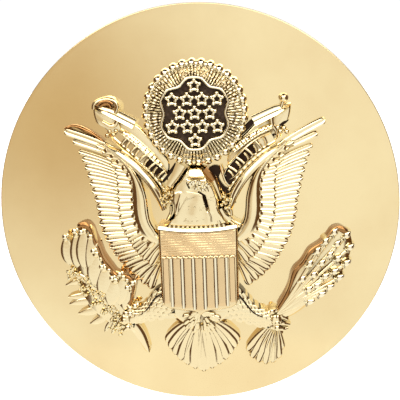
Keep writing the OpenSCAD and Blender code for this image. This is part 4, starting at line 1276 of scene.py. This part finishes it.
def build_nut():
    m = Mesh(flat=True)
    n = 432
    a = turn(n)
    flange_t = 1.5
    y0, y1 = NUT_Y0, NUT_Y1
    hub = 3.7

    def ring(r, y, knurl=0.0):
        rr = r - knurl * (0.5 + 0.5 * np.cos(36 * a)) ** 1.5
        return turned(rr, y, a)

    rings = []
    for y in np.arange(y0 + 0.12, y1 - 0.10, PITCH / 16):
        r = thread_r(a, y, slack=0.06)
        rings.append(turned(r, y, a))
    rings = rings[::-1]
    open_r = THREAD_R + 0.14
    top = y0 + flange_t
    profile = [(open_r, y0 + 0.02), (open_r + 0.1, y0), (hub, y0), (NUT_R - 0.35, y0),
        (NUT_R - 0.10, y0 + 0.05, 0.10), (NUT_R, y0 + 0.2, 0.24), (NUT_R, y0 + 0.5, 0.26),
        (NUT_R, y0 + 0.9, 0.26), (NUT_R, top - 0.2, 0.24), (NUT_R - 0.10, top - 0.05, 0.10),
        (NUT_R - 0.35, top), (NUT_R - 0.9, top), (NUT_R - 1.1, top - 0.1), (hub + 0.35, top - 0.1),
        (hub + 0.1, top - 0.02), (hub, top + 0.12), (hub, y1 - 0.8), (hub - 0.1, y1 - 0.72),
        (hub - 0.1, y1 - 0.6), (hub, y1 - 0.52), (hub, y1 - 0.2), (hub - 0.2, y1), (open_r + 0.25, y1),
        (open_r, y1 - 0.06)]
    loft(m, np.stack([ring(*p) for p in profile] + rings), closed=True)
    m.make("knurled_nut", ["thumb_nut"], nut_brass, angle=40, body="nut", slot="nut_brass")


build_post()
build_rivets()
build_plate()
build_nut()

# ---------------------------------------------------------------- studio
scene = bpy.context.scene


def plain(name, colour, strength):
    m = bpy.data.materials.new(name)
    inputs = {"Base Color": (*colour, 1), "Roughness": 0.9, "Emission Color": (*colour, 1),
        "Emission Strength": strength}
    tree = tree_of(m)
    shade = add_node(tree, "ShaderNodeBsdfPrincipled", inputs)
    add_node(tree, "ShaderNodeOutputMaterial", {"Surface": shade.outputs["BSDF"]})
    return m


floor_data = bpy.data.meshes.new("floor")
FLOOR_Z, FLOOR_HALF = -0.60, 5.0
corners = [(FLOOR_HALF * x, FLOOR_HALF * y, FLOOR_Z) for x, y in ((-1, -1), (1, -1), (1, 1), (-1, 1))]
floor_data.from_pydata(corners, [], [(0, 1, 2, 3)])
floor = bpy.data.objects.new("floor", floor_data)
floor_data.materials.append(plain("pale_floor", (0.97, 0.97, 0.965), 0.75))
scene.collection.objects.link(floor)
floor.visible_glossy = False

world = bpy.data.worlds.new("studio")
scene.world = world
wt = tree_of(world)


def wmath(op, a, b=None):
    values = {0: a} if b is None else {0: a, 1: b}
    return add_node(wt, "ShaderNodeMath", values, operation=op).outputs[0]


def wstep(value, low, high):
    """0 below low, 1 above high, smooth between."""
    inputs = {"Value": value, "From Min": low, "From Max": high}
    return add_node(wt, "ShaderNodeMapRange", inputs, interpolation_type="SMOOTHSTEP").outputs["Result"]


def wmix(factor, a, b):
    a, b = [(*value, 1) if isinstance(value, tuple) else value for value in (a, b)]
    return blend(wt, factor, a, b)


def wnot(value):
    return wmath("SUBTRACT", 1.0, value)


NEAR_TONE = (0.68, 0.56, 0.40)
FAR_TONE = (1.02, 1.04, 1.03)
LOW_TONE = (1.08, 1.08, 1.04)
SURROUND = (0.13, 0.068, 0.030)
SOFT_BOX = (4.2, 4.1, 3.9)
CEILING = (0.03, 0.022, 0.015)
BEHIND = (0.95, 0.93, 0.88)
coord = add_node(wt, "ShaderNodeTexCoord")
dx, dy, dz = add_node(wt, "ShaderNodeSeparateXYZ", {0: coord.outputs["Generated"]}).outputs
side_x, side_z = wmath("ADD", dx, 0.38), wmath("SUBTRACT", dz, 0.05)
squares = wmath("ADD", wmath("MULTIPLY", side_x, side_x), wmath("MULTIPLY", side_z, side_z))
apart = wmath("SQRT", squares)
base = wmix(wstep(apart, 0.0, 0.5), NEAR_TONE, FAR_TONE)
base = wmix(wstep(dz, -0.44, -0.50), base, LOW_TONE)
# to the sides, up to the sides and behind it is dark, except from below
front = wmath("MULTIPLY", dy, -1.0)
aside = wstep(wmath("ABSOLUTE", dx), 0.50, 0.62)
above = wstep(dz, 0.31, 0.37)
around = wmath("MAXIMUM", wmath("MAXIMUM", aside, above), wnot(wstep(front, 0.10, 0.40)))
dim = wmath("MULTIPLY", around, wstep(dz, -0.72, -0.50))
base = wmix(dim, base, SURROUND)
# a bright soft box high in front, under a dark ceiling
box = wmath("MULTIPLY", wstep(dz, 0.36, 0.43), wnot(wstep(dz, 0.80, 0.86)))
box = wmath("MULTIPLY", box, wnot(wstep(wmath("ABSOLUTE", dx), 0.55, 0.70)))
box = wmath("MULTIPLY", box, wstep(front, 0.05, 0.2))
base = wmix(box, base, SOFT_BOX)
base = wmix(wstep(dz, 0.84, 0.90), base, CEILING)
base = wmix(wstep(dy, 0.15, 0.40), base, BEHIND)
light = add_node(wt, "ShaderNodeBackground", {"Color": base})
white = add_node(wt, "ShaderNodeBackground", {"Color": (1, 1, 1, 1), "Strength": 1.05})
seen = add_node(wt, "ShaderNodeLightPath").outputs["Is Camera Ray"]
choose = add_node(wt, "ShaderNodeMixShader", {0: seen, 1: light.outputs[0], 2: white.outputs[0]})
add_node(wt, "ShaderNodeOutputWorld", {"Surface": choose.outputs[0]})

scene.view_settings.view_transform = "Standard"
scene.view_settings.look = "None"

# ---------------------------------------------------------------- camera
cam_data = bpy.data.cameras.new("camera")
camera = bpy.data.objects.new("camera", cam_data)
scene.collection.objects.link(camera)
scene.camera = camera
cam_data.lens = 280
cam_data.sensor_width = 36
DISTANCE = 0.2968
AZ, EL, ROLL = math.radians(4.0), math.radians(9.0), math.radians(1.8)
back = np.array([math.sin(AZ) * math.cos(EL), -math.cos(AZ) * math.cos(EL), math.sin(EL)])
aim = Vector((0.00005, -0.0008, 0.000155))
q = (-Vector(back)).to_track_quat("-Z", "Y")
q = q @ Quaternion((0, 0, 1), -ROLL)
camera.rotation_mode = "QUATERNION"
camera.rotation_quaternion = q
camera.location = aim + Vector(back) * DISTANCE
cam_data.clip_start, cam_data.clip_end = 0.001, 20
